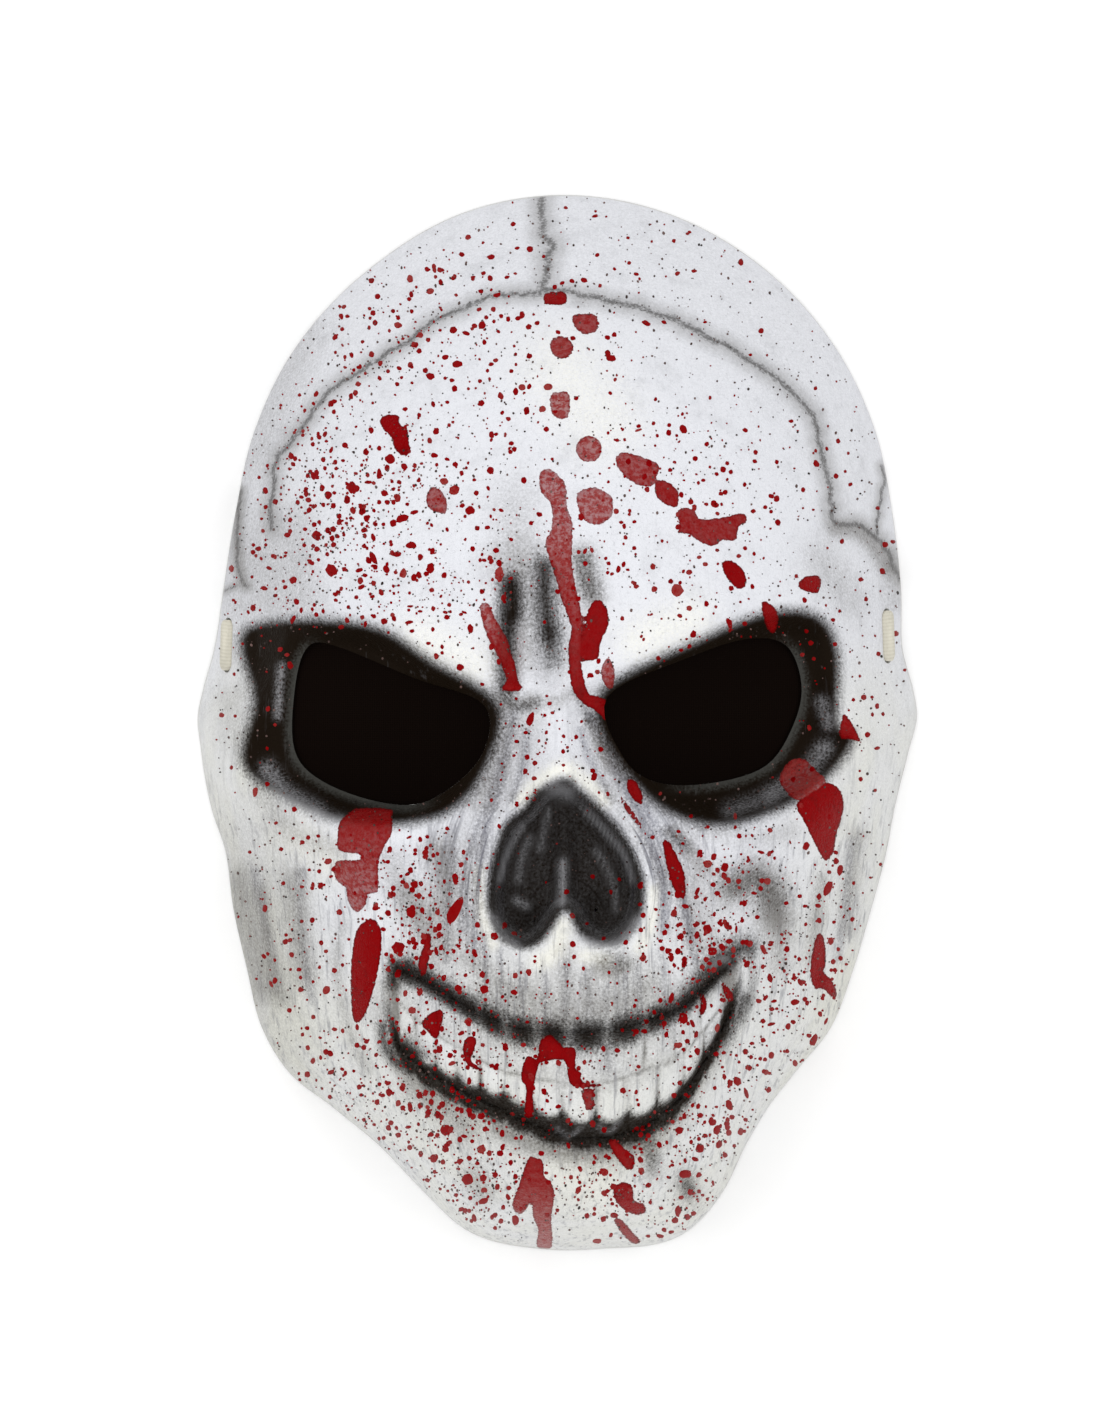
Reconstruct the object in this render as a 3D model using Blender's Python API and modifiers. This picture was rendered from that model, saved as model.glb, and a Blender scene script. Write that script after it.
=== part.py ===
"""A rigid skull mask: one moulded shell with cut eye openings, fabric gauze behind them, and an elastic
head strap. It lies face up on its rim: +Z comes out of the face, +Y points to the crown, and +X is the
right-hand side of someone looking at the face. The origin is under the middle of the part, on the rim.

Widths and heights of the face are written in millimetres as they look from straight in front, from
SIGHT_DISTANCE away. Near points look larger, so true_place moves each point towards the middle as it
rises."""

import math

import bmesh
import bpy
import numpy as np
from mathutils import Vector

MM = 0.001

# Driving dimensions, in millimetres.
WALL = 2.5
GAP = 0.3
SIGHT_DISTANCE = 2500.0
RIM_SKIRT = 5.0
GRID_ACROSS = 110
GRID_UP = 140
SHELL_KEEP = 0.157
EDGE_ROUND = 1.3
EDGE_CLOSE = 0.12
PLAIN_RIM_SHARE = 0.09

SOCKET_WALL_RUN = 8.0
SOCKET_LIP = 1.2
NOSE_DEPTH = 12.0
NOSE_WALL_RUN = 5.0
SEPTUM_RISE = 0.45
SEPTUM_WIDE = 2.2
SEPTUM_X = 1.5
SEPTUM_TOP_Y = -20.0
TOOTH_BULGE = 2.4
TOOTH_NOTCH = 1.6
TOOTH_ROOT_SHARE = 1 / 3
GUM_GROOVE = 2.6
GUM_GROOVE_WIDE = 2.2
MOUTH_CORNER = 6.0

GAUZE_THICK = 1.0
GAUZE_MARGIN = 2.0

SLOT_LONG = 14.2
SLOT_WIDE = 5.2
SLOT_LEAN = math.radians(9.0)
STRAP_WIDE = 13.0
STRAP_THICK = 1.4
STRAP_FOLD = 4.4
STRAP_BULGE = 1.0
STRAP_SIDES = 12
STRAP_OVER_RIM = 0.6
STRAP_SPANS = 6
CUTTER_REACH = 8.0

# The rim seen from the front: height, half width on the left, half width on the right.
RIM_ROWS = (
    (132.4, 22.4, 26.0),
    (116.9, 49.0, 53.9),
    (96.3, 68.1, 72.2),
    (75.6, 78.2, 82.0),
    (54.9, 83.1, 86.4),
    (34.2, 86.4, 88.8),
    (18.7, 88.8, 89.2),
    (8.4, 91.6, 91.9),
    (2.0, 92.9, 92.9),
    (-7.1, 92.1, 90.8),
    (-22.6, 89.3, 87.0),
    (-32.9, 85.9, 85.1),
    (-48.4, 83.7, 81.0),
    (-63.9, 80.2, 76.4),
    (-79.5, 76.1, 70.2),
    (-89.8, 69.9, 61.9),
    (-100.1, 57.2, 54.0),
    (-110.5, 44.8, 48.0),
    (-120.8, 35.0, 43.0),
    (-131.1, 23.6, 34.0),
)
CROWN = (1.9, 136.3)
CHIN = ((-4.5, -136.0), (11.0, -136.0))

# The face's long section: height, how far it stands over the rim, how far it has dropped 50 mm out.
SECTION_ROWS = (
    (-137.0, 84.0, 8.0),
    (-124.0, 88.0, 8.0),
    (-108.0, 88.0, 9.0),
    (-90.0, 90.0, 9.0),
    (-70.0, 88.0, 8.0),
    (-50.0, 85.0, 6.0),
    (-25.0, 83.0, 4.0),
    (0.0, 80.0, 3.0),
    (20.0, 85.0, 3.0),
    (40.0, 88.0, 4.0),
    (70.0, 86.0, 4.0),
    (100.0, 80.0, 4.0),
    (137.0, 66.0, 3.0),
)

# How full the form stays towards the rim, by direction: degrees round from the right, fullness.
FULLNESS_ROWS = (
    (-180.0, 3.4),
    (-150.0, 3.8),
    (-125.0, 5.0),
    (-110.0, 8.0),
    (-90.0, 12.0),
    (-70.0, 8.0),
    (-55.0, 5.0),
    (-30.0, 3.8),
    (0.0, 3.4),
    (45.0, 2.8),
    (90.0, 2.6),
    (135.0, 2.8),
    (180.0, 3.4),
)

# Ridges and furrows: name, height over the form, half width, points that the line follows.
FOLDS = (
    ("brow left", 5.0, 8.0, ((-80, 31), (-55, 32), (-32, 21), (-15, 11))),
    ("brow right", 5.0, 8.0, ((12, 14), (34, 26), (56, 35), (74, 31))),
    ("outer orbit left", 6.0, 5.0, ((-82, 24), (-82, 4), (-83, -12))),
    ("outer orbit right", 6.0, 5.0, ((76, 24), (77, 4), (80, -6))),
    ("lower orbit left", 4.0, 6.0, ((-82, -16), (-60, -28), (-38, -29), (-22, -20))),
    ("lower orbit right", 4.0, 6.0, ((80, -11), (64, -25), (42, -30), (24, -24))),
    ("cheekbone left", 5.0, 9.0, ((-84, -21), (-66, -31), (-50, -36))),
    ("cheekbone right", 5.0, 9.0, ((82, -18), (66, -30), (50, -36))),
    ("nose bridge", 8.0, 8.0, ((-2, 6), (0, -4), (1, -13))),
    ("nose rim left", 2.5, 4.0, ((-2, -12), (-15, -23), (-21, -42), (-16, -60))),
    ("nose rim right", 2.5, 4.0, ((4, -12), (17, -23), (26, -42), (18, -60))),
    ("brow furrow left", -3.5, 2.6, ((-12, 36), (-12, 12))),
    ("brow furrow middle", -3.0, 3.6, ((-3, 38), (-2, 12))),
    ("cheek crease left", -3.0, 4.0, ((-55, -51), (-57, -62), (-55, -77), (-49, -90))),
    ("cheek crease right", -3.0, 4.0, ((51, -39), (57, -45), (58, -56), (55, -70))),
    ("side fold left", -2.5, 3.5, ((-77, -40), (-75, -55), (-70, -70))),
    ("side fold right", -2.5, 3.5, ((73, -40), (71, -55), (66, -68))),
    ("jaw line left", 2.5, 6.0, ((-62, -86), (-44, -100), (-32, -116))),
    ("jaw line right", 2.5, 6.0, ((56, -84), (44, -100), (38, -116))),
)

# Rounded swellings and hollows: name, height, centre x, centre y, half width, half height.
SWELLS = (
    ("muzzle", 5.0, 1.0, -82.0, 36.0, 24.0),
    ("chin", 4.0, 4.0, -121.0, 22.0, 12.0),
    ("cheek hollow left", -4.0, -36.0, -52.0, 8.0, 13.0),
    ("cheek hollow right", -4.0, 46.0, -47.0, 9.0, 9.0),
    ("temple left", -3.0, -76.0, 52.0, 10.0, 24.0),
    ("temple right", -3.0, 79.0, 52.0, 10.0, 24.0),
    ("chin dent left", -2.0, -21.0, -119.0, 4.0, 4.0),
    ("chin dent right", -2.0, 33.0, -119.0, 4.0, 4.0),
)

# Each eye: the socket's outline, the opening's outline, and the socket floor's plane, which is its
# height at the floor's middle and its slopes to the right and up.
EYES = {
    "left": {
        "socket": ((-80, 24), (-50, 25), (-32, 15), (-17, 6), (-16, -4), (-24, -19), (-36, -25),
                   (-55, -25), (-72, -18), (-81, -10), (-78, 6)),
        "opening": ((-65, 19), (-58, 20), (-37, 11.5), (-19, 4.5), (-20, -9), (-33, -20),
                    (-46, -20.5), (-61, -15), (-68, -7), (-68, 8)),
        "middle": (-43.0, 0.0),
        "floor": (59.0, 0.55, 0.12),
    },
    "right": {
        "socket": ((12, 8), (37, 21), (55, 28), (67, 27), (72, 18), (72, 0), (76, -4), (70, -13),
                   (59, -21), (42, -26), (26, -21), (13, -5)),
        "opening": ((12.8, 6.6), (34, 16.9), (49, 21.6), (59, 20), (63, 10), (61, -0.4), (54, -11),
                    (40.4, -15.5), (26, -15.5), (17, -9)),
        "middle": (39.0, 2.0),
        "floor": (61.0, -0.55, 0.12),
    },
}

# The nose cavity, an upside-down heart, and the bump of the septum inside it.
NOSE_OUTLINE = (
    (1.2, -13.5), (-6.5, -18), (-13.5, -24), (-17, -34), (-17.5, -48), (-11, -58.5), (-4, -55),
    (1.5, -51), (6, -54), (13, -57.5), (21, -50.5), (22, -42), (18, -30), (12, -22.5), (5.5, -16),
)

# The mouth's three long curves, across from left to right: x, upper gum, bite, lower gum.
MOUTH_ROWS = (
    (-46.0, -62.0, -66.0, -71.0),
    (-42.0, -63.5, -71.0, -82.0),
    (-36.0, -65.5, -77.0, -88.5),
    (-28.0, -70.5, -82.5, -93.5),
    (-15.0, -77.0, -89.5, -100.0),
    (0.0, -79.3, -93.0, -106.5),
    (12.0, -79.0, -93.0, -107.4),
    (22.0, -77.0, -90.0, -104.5),
    (32.0, -73.0, -85.5, -96.5),
    (41.0, -65.0, -75.0, -82.0),
    (49.0, -58.0, -62.0, -66.0),
)
UPPER_GAPS = (-41, -36, -31, -26, -20.5, -13.6, -5.3, 2.7, 12.8, 22.4, 30.4, 36.8, 42.5)
LOWER_GAPS = (-41, -36.8, -31.4, -25.7, -20, -13.6, -7.1, 1.4, 9.9, 18.1, 25.7, 32.2, 37.7, 42.5)

# The strap slots: where their middles look to be from the front.
SLOTS = {"left": (-85.3, 20.0), "right": (85.2, 22.4)}

# The flatter pad that each slot is cut in: its slope, its reach from the slot, its most change.
SLOT_PAD_SLOPE = 1.9
SLOT_PAD_REACH = 11.0
SLOT_PAD_MOST = 8.0
SLOT_PAD_OVAL = 0.7
SLOT_PAD_FADE = 1.6
SLOT_RIM_SHARE = 0.02


def follow(knots, values, at):
    """A smooth curve through the values at the knots."""
    knots = np.asarray(knots, float)
    values = np.asarray(values, float)
    slopes = np.gradient(values, knots)
    spot = np.clip(np.searchsorted(knots, at) - 1, 0, len(knots) - 2)
    step = knots[spot + 1] - knots[spot]
    t = np.clip((at - knots[spot]) / step, 0.0, 1.0)
    start = values[spot] * (1 + 2 * t) * (1 - t) ** 2 + slopes[spot] * step * t * (1 - t) ** 2
    end = values[spot + 1] * t**2 * (3 - 2 * t) + slopes[spot + 1] * step * t**2 * (t - 1)
    return start + end


def ease(t):
    """0 below 0, 1 above 1, and smooth between."""
    t = np.clip(t, 0.0, 1.0)
    return t * t * (3 - 2 * t)


def loop_through(points, steps=5):
    """A smooth closed outline through the points, with this many steps from each to the next."""
    points = np.asarray(points, float)
    before, after, beyond = (np.roll(points, shift, axis=0) for shift in (1, -1, -2))
    rows = []
    for t in np.arange(steps) / steps:
        rows.append(
            0.5 * (2 * points + (after - before) * t + (2 * before - 5 * points + 4 * after - beyond) * t**2
                   + (3 * points - before - 3 * after + beyond) * t**3)
        )
    return np.stack(rows, axis=1).reshape(-1, 2)


def distance_to_line(x, y, points, closed=False):
    """How far each place is from the line through the points."""
    points = np.asarray(points, float)
    ends = np.roll(points, -1, axis=0) if closed else points[1:]
    starts = points if closed else points[:-1]
    nearest = np.full(x.shape, np.inf)
    for (ax, ay), (bx, by) in zip(starts, ends):
        run = (bx - ax) ** 2 + (by - ay) ** 2
        t = np.clip(((x - ax) * (bx - ax) + (y - ay) * (by - ay)) / run, 0, 1)
        nearest = np.minimum(nearest, np.hypot(x - ax - t * (bx - ax), y - ay - t * (by - ay)))
    return nearest


def depth_inside(x, y, outline):
    """The distance to a closed outline, positive inside it and negative outside."""
    inside = np.zeros(x.shape, bool)
    for (ax, ay), (bx, by) in zip(outline, np.roll(outline, -1, axis=0)):
        crosses = (ay > y) != (by > y)
        rise = by - ay if by != ay else 1.0
        inside ^= crosses & (x < ax + (y - ay) * (bx - ax) / rise)
    far = distance_to_line(x, y, outline, closed=True)
    return np.where(inside, far, -far)


def rim_radius(angle):
    """How far the rim lies from the middle, in each direction."""
    points = [CROWN, *CHIN]
    for height, left, right in RIM_ROWS:
        points += [(-left, height), (right, height)]
    points = np.array(sorted(points, key=lambda p: math.atan2(p[1], p[0])))
    knots = np.arctan2(points[:, 1], points[:, 0])
    radii = np.hypot(points[:, 0], points[:, 1])
    knots = np.concatenate([knots - 2 * math.pi, knots, knots + 2 * math.pi])
    return follow(knots, np.tile(radii, 3), angle)


def plain_form(x, y):
    """The face without its features: full in the middle and falling to the rim all round."""
    angle = np.arctan2(y, x)
    share = np.clip(np.hypot(x, y) / rim_radius(angle), 0.0, 1.0)
    heights, stands, drops = zip(*SECTION_ROWS)
    crest = follow(heights, stands, y) - follow(heights, drops, y) * (x / 50.0) ** 2
    directions, full = zip(*FULLNESS_ROWS)
    fullness = follow(directions, full, np.degrees(angle))
    return crest * (1 - share**fullness) ** (1 / EDGE_ROUND), share


def tooth_row(x, gaps):
    """1 in the middle of each tooth of a row, 0 at the gaps between its teeth."""
    gaps = np.asarray(gaps, float)
    spot = np.clip(np.searchsorted(gaps, x) - 1, 0, len(gaps) - 2)
    t = (x - gaps[spot]) / (gaps[spot + 1] - gaps[spot])
    return np.sqrt(np.clip(1 - (2 * t - 1) ** 2, 0.0, 1.0))


def tooth_length(share):
    """How full a tooth is along its length, from 0 at its gum to 1 at its rounded tip."""
    share = np.clip(share, 0, 1)
    return np.sqrt(1 - share**4) * ease(share / TOOTH_ROOT_SHARE)


def mouth(x, y):
    """The height that the gums, the gaps and the two rows of teeth add."""
    across, upper, bite, lower = zip(*MOUTH_ROWS)
    top, middle, bottom = (follow(across, row, x) for row in (upper, bite, lower))
    bulge = np.where(
        y > middle,
        tooth_row(x, UPPER_GAPS) * tooth_length((top - y) / (top - middle)),
        tooth_row(x, LOWER_GAPS) * tooth_length((y - bottom) / (middle - bottom)),
    )
    inside = (y < top) & (y > bottom) & (x > across[0]) & (x < across[-1])
    teeth = np.where(inside, TOOTH_BULGE * bulge - TOOTH_NOTCH, 0.0)
    side = ease((x - across[0]) / MOUTH_CORNER) * ease((across[-1] - x) / MOUTH_CORNER)
    groove = np.exp(-((y - top) / GUM_GROOVE_WIDE) ** 2) + np.exp(-((y - bottom) / GUM_GROOVE_WIDE) ** 2)
    return side * (teeth - GUM_GROOVE * groove)


def face_height(x, y):
    """How far the mask's outer face stands over the rim's plane."""
    z, share = plain_form(x, y)
    hold = ease((1 - share) / PLAIN_RIM_SHARE)
    for _, height, wide, points in FOLDS:
        z = z + hold * height * np.exp(-(distance_to_line(x, y, points) / wide) ** 2)
    for _, height, middle_x, middle_y, wide, tall in SWELLS:
        z = z + hold * height * np.exp(-((x - middle_x) / wide) ** 2 - ((y - middle_y) / tall) ** 2)
    for eye in EYES.values():
        into = depth_inside(x, y, loop_through(eye["socket"]))
        floor = socket_floor(eye, x, y)
        z = z + np.minimum(floor - z, 0) * ease((SOCKET_LIP + into) / SOCKET_WALL_RUN)
    into = depth_inside(x, y, loop_through(NOSE_OUTLINE))
    below_top = ease((y - SEPTUM_TOP_Y) / SEPTUM_TOP_Y)
    septum = SEPTUM_RISE * below_top * np.exp(-((x - SEPTUM_X) / SEPTUM_WIDE) ** 2)
    z = z - NOSE_DEPTH * ease(into / NOSE_WALL_RUN) * (1 - septum)
    z = z + mouth(x, y)
    for side, (slot_x, slot_y) in SLOTS.items():
        outward = -1 if side == "left" else 1
        stand = plain_form(np.array([slot_x]), np.array([slot_y]))[0][0]
        pad = stand - SLOT_PAD_SLOPE * outward * (x - slot_x)
        near = ease(SLOT_PAD_FADE - np.hypot(x - slot_x, (y - slot_y) * SLOT_PAD_OVAL) / SLOT_PAD_REACH)
        step = np.clip(pad - z, -SLOT_PAD_MOST, SLOT_PAD_MOST)
        z = z + near * step * ease((1 - share) / SLOT_RIM_SHARE)
    return np.maximum(z, 0.0)


def socket_floor(eye, x, y):
    """The plane of a socket's floor."""
    stand, to_right, up = eye["floor"]
    middle_x, middle_y = eye["middle"]
    return stand + to_right * (x - middle_x) + up * (y - middle_y)


def true_place(x, y, z):
    """The place in metres of a point that is seen at x, y and stands z over the rim's plane."""
    near = 1 - z / SIGHT_DISTANCE
    return Vector((x * near, y * near, z)) * MM


def slot_frame(side):
    """A slot's middle on the outer face, and its outward and lengthwise directions."""
    x, y = SLOTS[side]
    ahead = np.array([x, x + 0.5, x - 0.5, x, x])
    over = np.array([y, y, y, y + 2.0, y - 2.0])
    z = face_height(ahead, over)
    normal = Vector((-(z[1] - z[2]) / 1.0, -(z[3] - z[4]) / 4.0, 1.0)).normalized()
    lean = SLOT_LEAN if side == "left" else -SLOT_LEAN
    along = Vector((math.sin(lean), math.cos(lean), 0.0))
    along = (along - normal * along.dot(normal)).normalized()
    return true_place(x, y, z[0]), normal, along


def material(name, colour, roughness):
    """A plain Principled material."""
    made = bpy.data.materials.new(name)
    made.use_nodes = True
    shader = made.node_tree.nodes["Principled BSDF"]
    shader.inputs["Base Color"].default_value = (*colour, 1.0)
    shader.inputs["Roughness"].default_value = roughness
    shader.inputs["Metallic"].default_value = 0.0
    made.diffuse_color = (*colour, 1.0)
    return made


def collection(name):
    made = bpy.data.collections.new(name)
    bpy.context.scene.collection.children.link(made)
    return made


def add_object(name, mesh, into, finish=None):
    made = bpy.data.objects.new(name, mesh)
    into.objects.link(made)
    if finish is not None:
        mesh.materials.append(finish)
    return made


def add_cutter(name, bm, into):
    """A hidden solid that a Boolean takes away."""
    bmesh.ops.recalc_face_normals(bm, faces=bm.faces)
    mesh = bpy.data.meshes.new(name)
    bm.to_mesh(mesh)
    bm.free()
    cutter = add_object(name, mesh, into)
    cutter.hide_render = True
    cutter.display_type = "WIRE"
    return cutter


def prism(starts, ends):
    """A closed solid between two outlines with as many points each."""
    bm = bmesh.new()
    near = [bm.verts.new(p) for p in starts]
    far = [bm.verts.new(p) for p in ends]
    bm.faces.new(near)
    bm.faces.new(reversed(far))
    for i in range(len(near)):
        j = (i + 1) % len(near)
        bm.faces.new((near[i], far[i], far[j], near[j]))
    bmesh.ops.recalc_face_normals(bm, faces=bm.faces)
    return bm


def stadium(length, wide, sides):
    """The points of an outline with two straight sides and two round ends."""
    radius = wide / 2
    reach = length / 2 - radius
    points = []
    for i in range(sides):
        angle = 2 * math.pi * (i + 0.5) / sides
        end = reach if math.sin(angle) > 0 else -reach
        points.append((radius * math.cos(angle), radius * math.sin(angle) + end))
    return points


def make_face(name):
    """A level grid whose lines close in towards its edge, rounded to a disc, spread to the rim's
    outline, raised to the face, and given a short skirt that runs down past the rim."""
    mesh = bpy.data.meshes.new(name)
    bm = bmesh.new()
    bmesh.ops.create_grid(bm, x_segments=GRID_ACROSS, y_segments=GRID_UP, size=1.0)
    grid = np.array([v.co[:2] for v in bm.verts])
    grid = np.clip(grid, -1, 1)
    u = grid[:, 0] * np.sqrt(1 - grid[:, 1] ** 2 / 2)
    v = grid[:, 1] * np.sqrt(1 - grid[:, 0] ** 2 / 2)
    spread = np.hypot(u, v)
    angle = np.arctan2(v, u)
    reach = rim_radius(angle) * spread * (1 + EDGE_CLOSE - EDGE_CLOSE * spread**4)
    x, y = reach * np.cos(angle), reach * np.sin(angle)
    z = np.where(spread > 0.9999, 0.0, face_height(x, y))
    for vert, place in zip(bm.verts, zip(x, y, z)):
        vert.co = true_place(*map(float, place))
    edges = [e for e in bm.edges if e.is_boundary]
    grown = bmesh.ops.extrude_edge_only(bm, edges=edges)
    for item in grown["geom"]:
        if isinstance(item, bmesh.types.BMVert):
            item.co.z = -RIM_SKIRT * MM
    bmesh.ops.recalc_face_normals(bm, faces=bm.faces)
    top = max(bm.faces, key=lambda f: f.calc_center_median().z)
    if top.normal.z < 0:
        bmesh.ops.reverse_faces(bm, faces=bm.faces)
    bm.to_mesh(mesh)
    bm.free()
    mesh.shade_smooth()
    return mesh


def make_shell(parts, cutters):
    """The moulded shell, cut level at the rim and through at the eyes and the slots."""
    finish = material("painted shell", (0.82, 0.83, 0.84), 0.45)
    shell = add_object("mask_shell", make_face("mask_shell"), parts, finish)
    thin = shell.modifiers.new("fewer faces", "DECIMATE")
    thin.ratio = SHELL_KEEP
    wall = shell.modifiers.new("wall", "SOLIDIFY")
    wall.thickness = WALL * MM
    wall.offset = -1.0
    wall.use_even_offset = False

    under = bmesh.new()
    bmesh.ops.create_cube(under, size=1.0)
    bmesh.ops.scale(under, verts=under.verts, vec=(0.3, 0.4, 0.03))
    bmesh.ops.translate(under, verts=under.verts, vec=(0.0, 0.0, -0.015))
    cuts = [add_cutter("level rim", under, cutters)]

    for side, eye in EYES.items():
        outline = loop_through(eye["opening"], 4)
        starts = [true_place(x, y, 30.0) for x, y in outline]
        ends = [true_place(x, y, 110.0) for x, y in outline]
        cuts.append(add_cutter(f"eye opening {side}", prism(starts, ends), cutters))

    for side in SLOTS:
        middle, normal, along = slot_frame(side)
        across = along.cross(normal)
        outline = stadium(SLOT_LONG * MM, SLOT_WIDE * MM, 16)
        section = [middle + across * a + along * b for a, b in outline]
        starts = [p - normal * CUTTER_REACH * MM for p in section]
        ends = [p + normal * CUTTER_REACH * MM for p in section]
        cuts.append(add_cutter(f"slot {side}", prism(starts, ends), cutters))

    for cutter in cuts:
        cut = shell.modifiers.new(cutter.name, "BOOLEAN")
        cut.operation = "DIFFERENCE"
        cut.solver = "MANIFOLD"
        cut.object = cutter
    return shell


def make_gauze(side, parts):
    """A flat fabric panel behind an eye opening, against the inside of the socket's floor."""
    eye = EYES[side]
    outline = loop_through(eye["opening"], 3)
    middle = outline.mean(axis=0)
    out = outline - middle
    outline = middle + out * (1 + GAUZE_MARGIN / np.hypot(out[:, 0], out[:, 1]))[:, None]
    _, to_right, up = eye["floor"]
    normal = Vector((-to_right, -up, 1.0)).normalized()
    front = [true_place(x, y, socket_floor(eye, x, y)) - normal * (WALL + GAP) * MM for x, y in outline]
    back = [p - normal * GAUZE_THICK * MM for p in front]
    bm = prism(front, back)
    name = f"eye_gauze_{side}"
    mesh = bpy.data.meshes.new(name)
    bm.to_mesh(mesh)
    bm.free()
    return add_object(name, mesh, parts, material(f"black gauze {side}", (0.012, 0.008, 0.006), 0.9))


def strap_stations():
    """The strap's line from the left slot to the right one: middle, width direction, thickness."""
    ends = {}
    for side in SLOTS:
        middle, normal, along = slot_frame(side)
        inward = 1 if side == "left" else -1
        floor_z = STRAP_THICK / 2 + STRAP_OVER_RIM
        tuck = middle - normal * (WALL + 5.0) * MM
        ends[side] = [
            (middle + normal * STRAP_BULGE * MM, along, STRAP_FOLD),
            (middle - normal * 1.0 * MM, along, STRAP_FOLD),
            (middle - normal * (WALL + 0.8) * MM, along, STRAP_FOLD),
            (middle - normal * (WALL + 2.6) * MM, along, STRAP_THICK + 0.6),
            (tuck, along, STRAP_THICK),
            (Vector((tuck.x + inward * 0.0025, middle.y, 0.0065)), along, STRAP_THICK),
            (Vector((tuck.x + inward * 0.0055, middle.y, 0.0030)), along, STRAP_THICK),
            (Vector((tuck.x + inward * 0.0100, middle.y, floor_z * MM + 0.0004)), along, STRAP_THICK),
            (Vector((tuck.x + inward * 0.0160, middle.y, floor_z * MM)), along, STRAP_THICK),
        ]
    left, right = ends["left"][-1], ends["right"][-1]
    across = []
    for step in range(1, STRAP_SPANS):
        share = step / STRAP_SPANS
        along = left[1].lerp(right[1], share).normalized()
        across.append((left[0].lerp(right[0], share), along, STRAP_THICK))
    return ends["left"] + across + ends["right"][::-1]


def make_strap(parts):
    """The elastic band: folded thick where it fills each slot, then flat, down to the rim's plane
    and straight across."""
    stations = strap_stations()
    bm = bmesh.new()
    rings = []
    for i, (middle, along, thick) in enumerate(stations):
        before = stations[max(i - 1, 0)][0]
        after = stations[min(i + 1, len(stations) - 1)][0]
        run = (after - before).normalized()
        width = (along - run * along.dot(run)).normalized()
        face = run.cross(width)
        outline = stadium(STRAP_WIDE * MM, thick * MM, STRAP_SIDES)
        rings.append([bm.verts.new(middle + face * a + width * b) for a, b in outline])
    for ring, following in zip(rings, rings[1:]):
        for i in range(STRAP_SIDES):
            j = (i + 1) % STRAP_SIDES
            bm.faces.new((ring[i], ring[j], following[j], following[i]))
    bm.faces.new(rings[0])
    bm.faces.new(rings[-1])
    bmesh.ops.recalc_face_normals(bm, faces=bm.faces)
    mesh = bpy.data.meshes.new("head_strap")
    bm.to_mesh(mesh)
    bm.free()
    return add_object("head_strap", mesh, parts, material("cream elastic", (0.78, 0.75, 0.66), 0.85))


for old in list(bpy.data.objects):
    bpy.data.objects.remove(old, do_unlink=True)

mask_parts = collection("skull_mask")
mask_cutters = collection("cutters")
make_shell(mask_parts, mask_cutters)
for eye_side in EYES:
    make_gauze(eye_side, mask_parts)
make_strap(mask_parts)
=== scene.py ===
"""A skull mask of moulded plastic, lying face up: its paint, its blood splashes, the gauze behind its
eyes and its elastic strap."""

import math

import bmesh
import bpy
import numpy as np
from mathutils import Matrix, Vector
from mathutils.bvhtree import BVHTree


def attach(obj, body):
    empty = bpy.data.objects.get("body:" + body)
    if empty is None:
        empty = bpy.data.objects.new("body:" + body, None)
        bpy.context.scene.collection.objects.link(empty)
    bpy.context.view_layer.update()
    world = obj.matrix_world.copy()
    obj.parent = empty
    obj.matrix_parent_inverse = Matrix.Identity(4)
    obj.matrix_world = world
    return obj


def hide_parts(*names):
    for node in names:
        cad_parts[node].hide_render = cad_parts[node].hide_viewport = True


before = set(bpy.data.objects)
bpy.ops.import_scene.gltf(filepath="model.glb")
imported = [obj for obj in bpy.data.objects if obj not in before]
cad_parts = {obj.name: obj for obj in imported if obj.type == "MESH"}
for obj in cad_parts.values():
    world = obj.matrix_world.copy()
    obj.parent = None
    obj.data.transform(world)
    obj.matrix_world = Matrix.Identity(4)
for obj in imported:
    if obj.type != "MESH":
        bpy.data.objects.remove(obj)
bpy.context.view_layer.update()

# The camera hangs over the mask and looks straight down at it. Places on the face were read off the
# photo, so a pixel of the photo and a millimetre of the rim's plane are tied together here. Near
# points look larger from there, so true_place moves each one towards the middle as it rises.
MM = 0.001
PHOTO_WIDE = 1100
PHOTO_TALL = 1428
PIXEL = 0.2584
MIDDLE_PX = (557.5, 722.5)
SIGHT_DISTANCE = 2500.0
SENSOR = 36.0
NEAREST_SEEN = 0.1
FARTHEST_SEEN = 20.0


def seen(points):
    """Pixels of the photo as millimetres to the right of the mask's middle and up from it."""
    points = np.asarray(points, float)
    return (points - MIDDLE_PX) * (PIXEL, -PIXEL)


def true_place(x, y, z):
    """The place in metres of points that are seen at x, y and stand z over the rim's plane."""
    near = 1 - z / SIGHT_DISTANCE
    return np.stack([x * near, y * near, z], axis=-1) * MM


def place_new(name, data):
    """A new object in the scene that shows the given mesh, camera or lamp."""
    made = bpy.data.objects.new(name, data)
    bpy.context.scene.collection.objects.link(made)
    return made


camera = place_new("camera", bpy.data.cameras.new("camera"))
bpy.context.scene.camera = camera
frame_x, frame_y = seen((PHOTO_WIDE / 2, PHOTO_TALL / 2))
camera.location = Vector((frame_x, frame_y, SIGHT_DISTANCE)) * MM
camera.data.sensor_width = SENSOR
camera.data.lens = SENSOR * SIGHT_DISTANCE / (PHOTO_TALL * PIXEL)
camera.data.clip_start = NEAREST_SEEN
camera.data.clip_end = FARTHEST_SEEN
camera.data.dof.use_dof = False

# The mask is one shell of hard plastic, 2.5 mm thick, moulded in the shape of a skull's face with an
# open back and a flat rim. Its plain form comes first: the rim, the long section over the forehead,
# nose and chin, and how full the face stays towards the rim. The features are added to it further on.
WALL = 2.5
EDGE_ROUND = 1.3
EDGE_CLOSE = 0.12
PLAIN_RIM_SHARE = 0.09
SECTION_SIDE = 50.0

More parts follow.
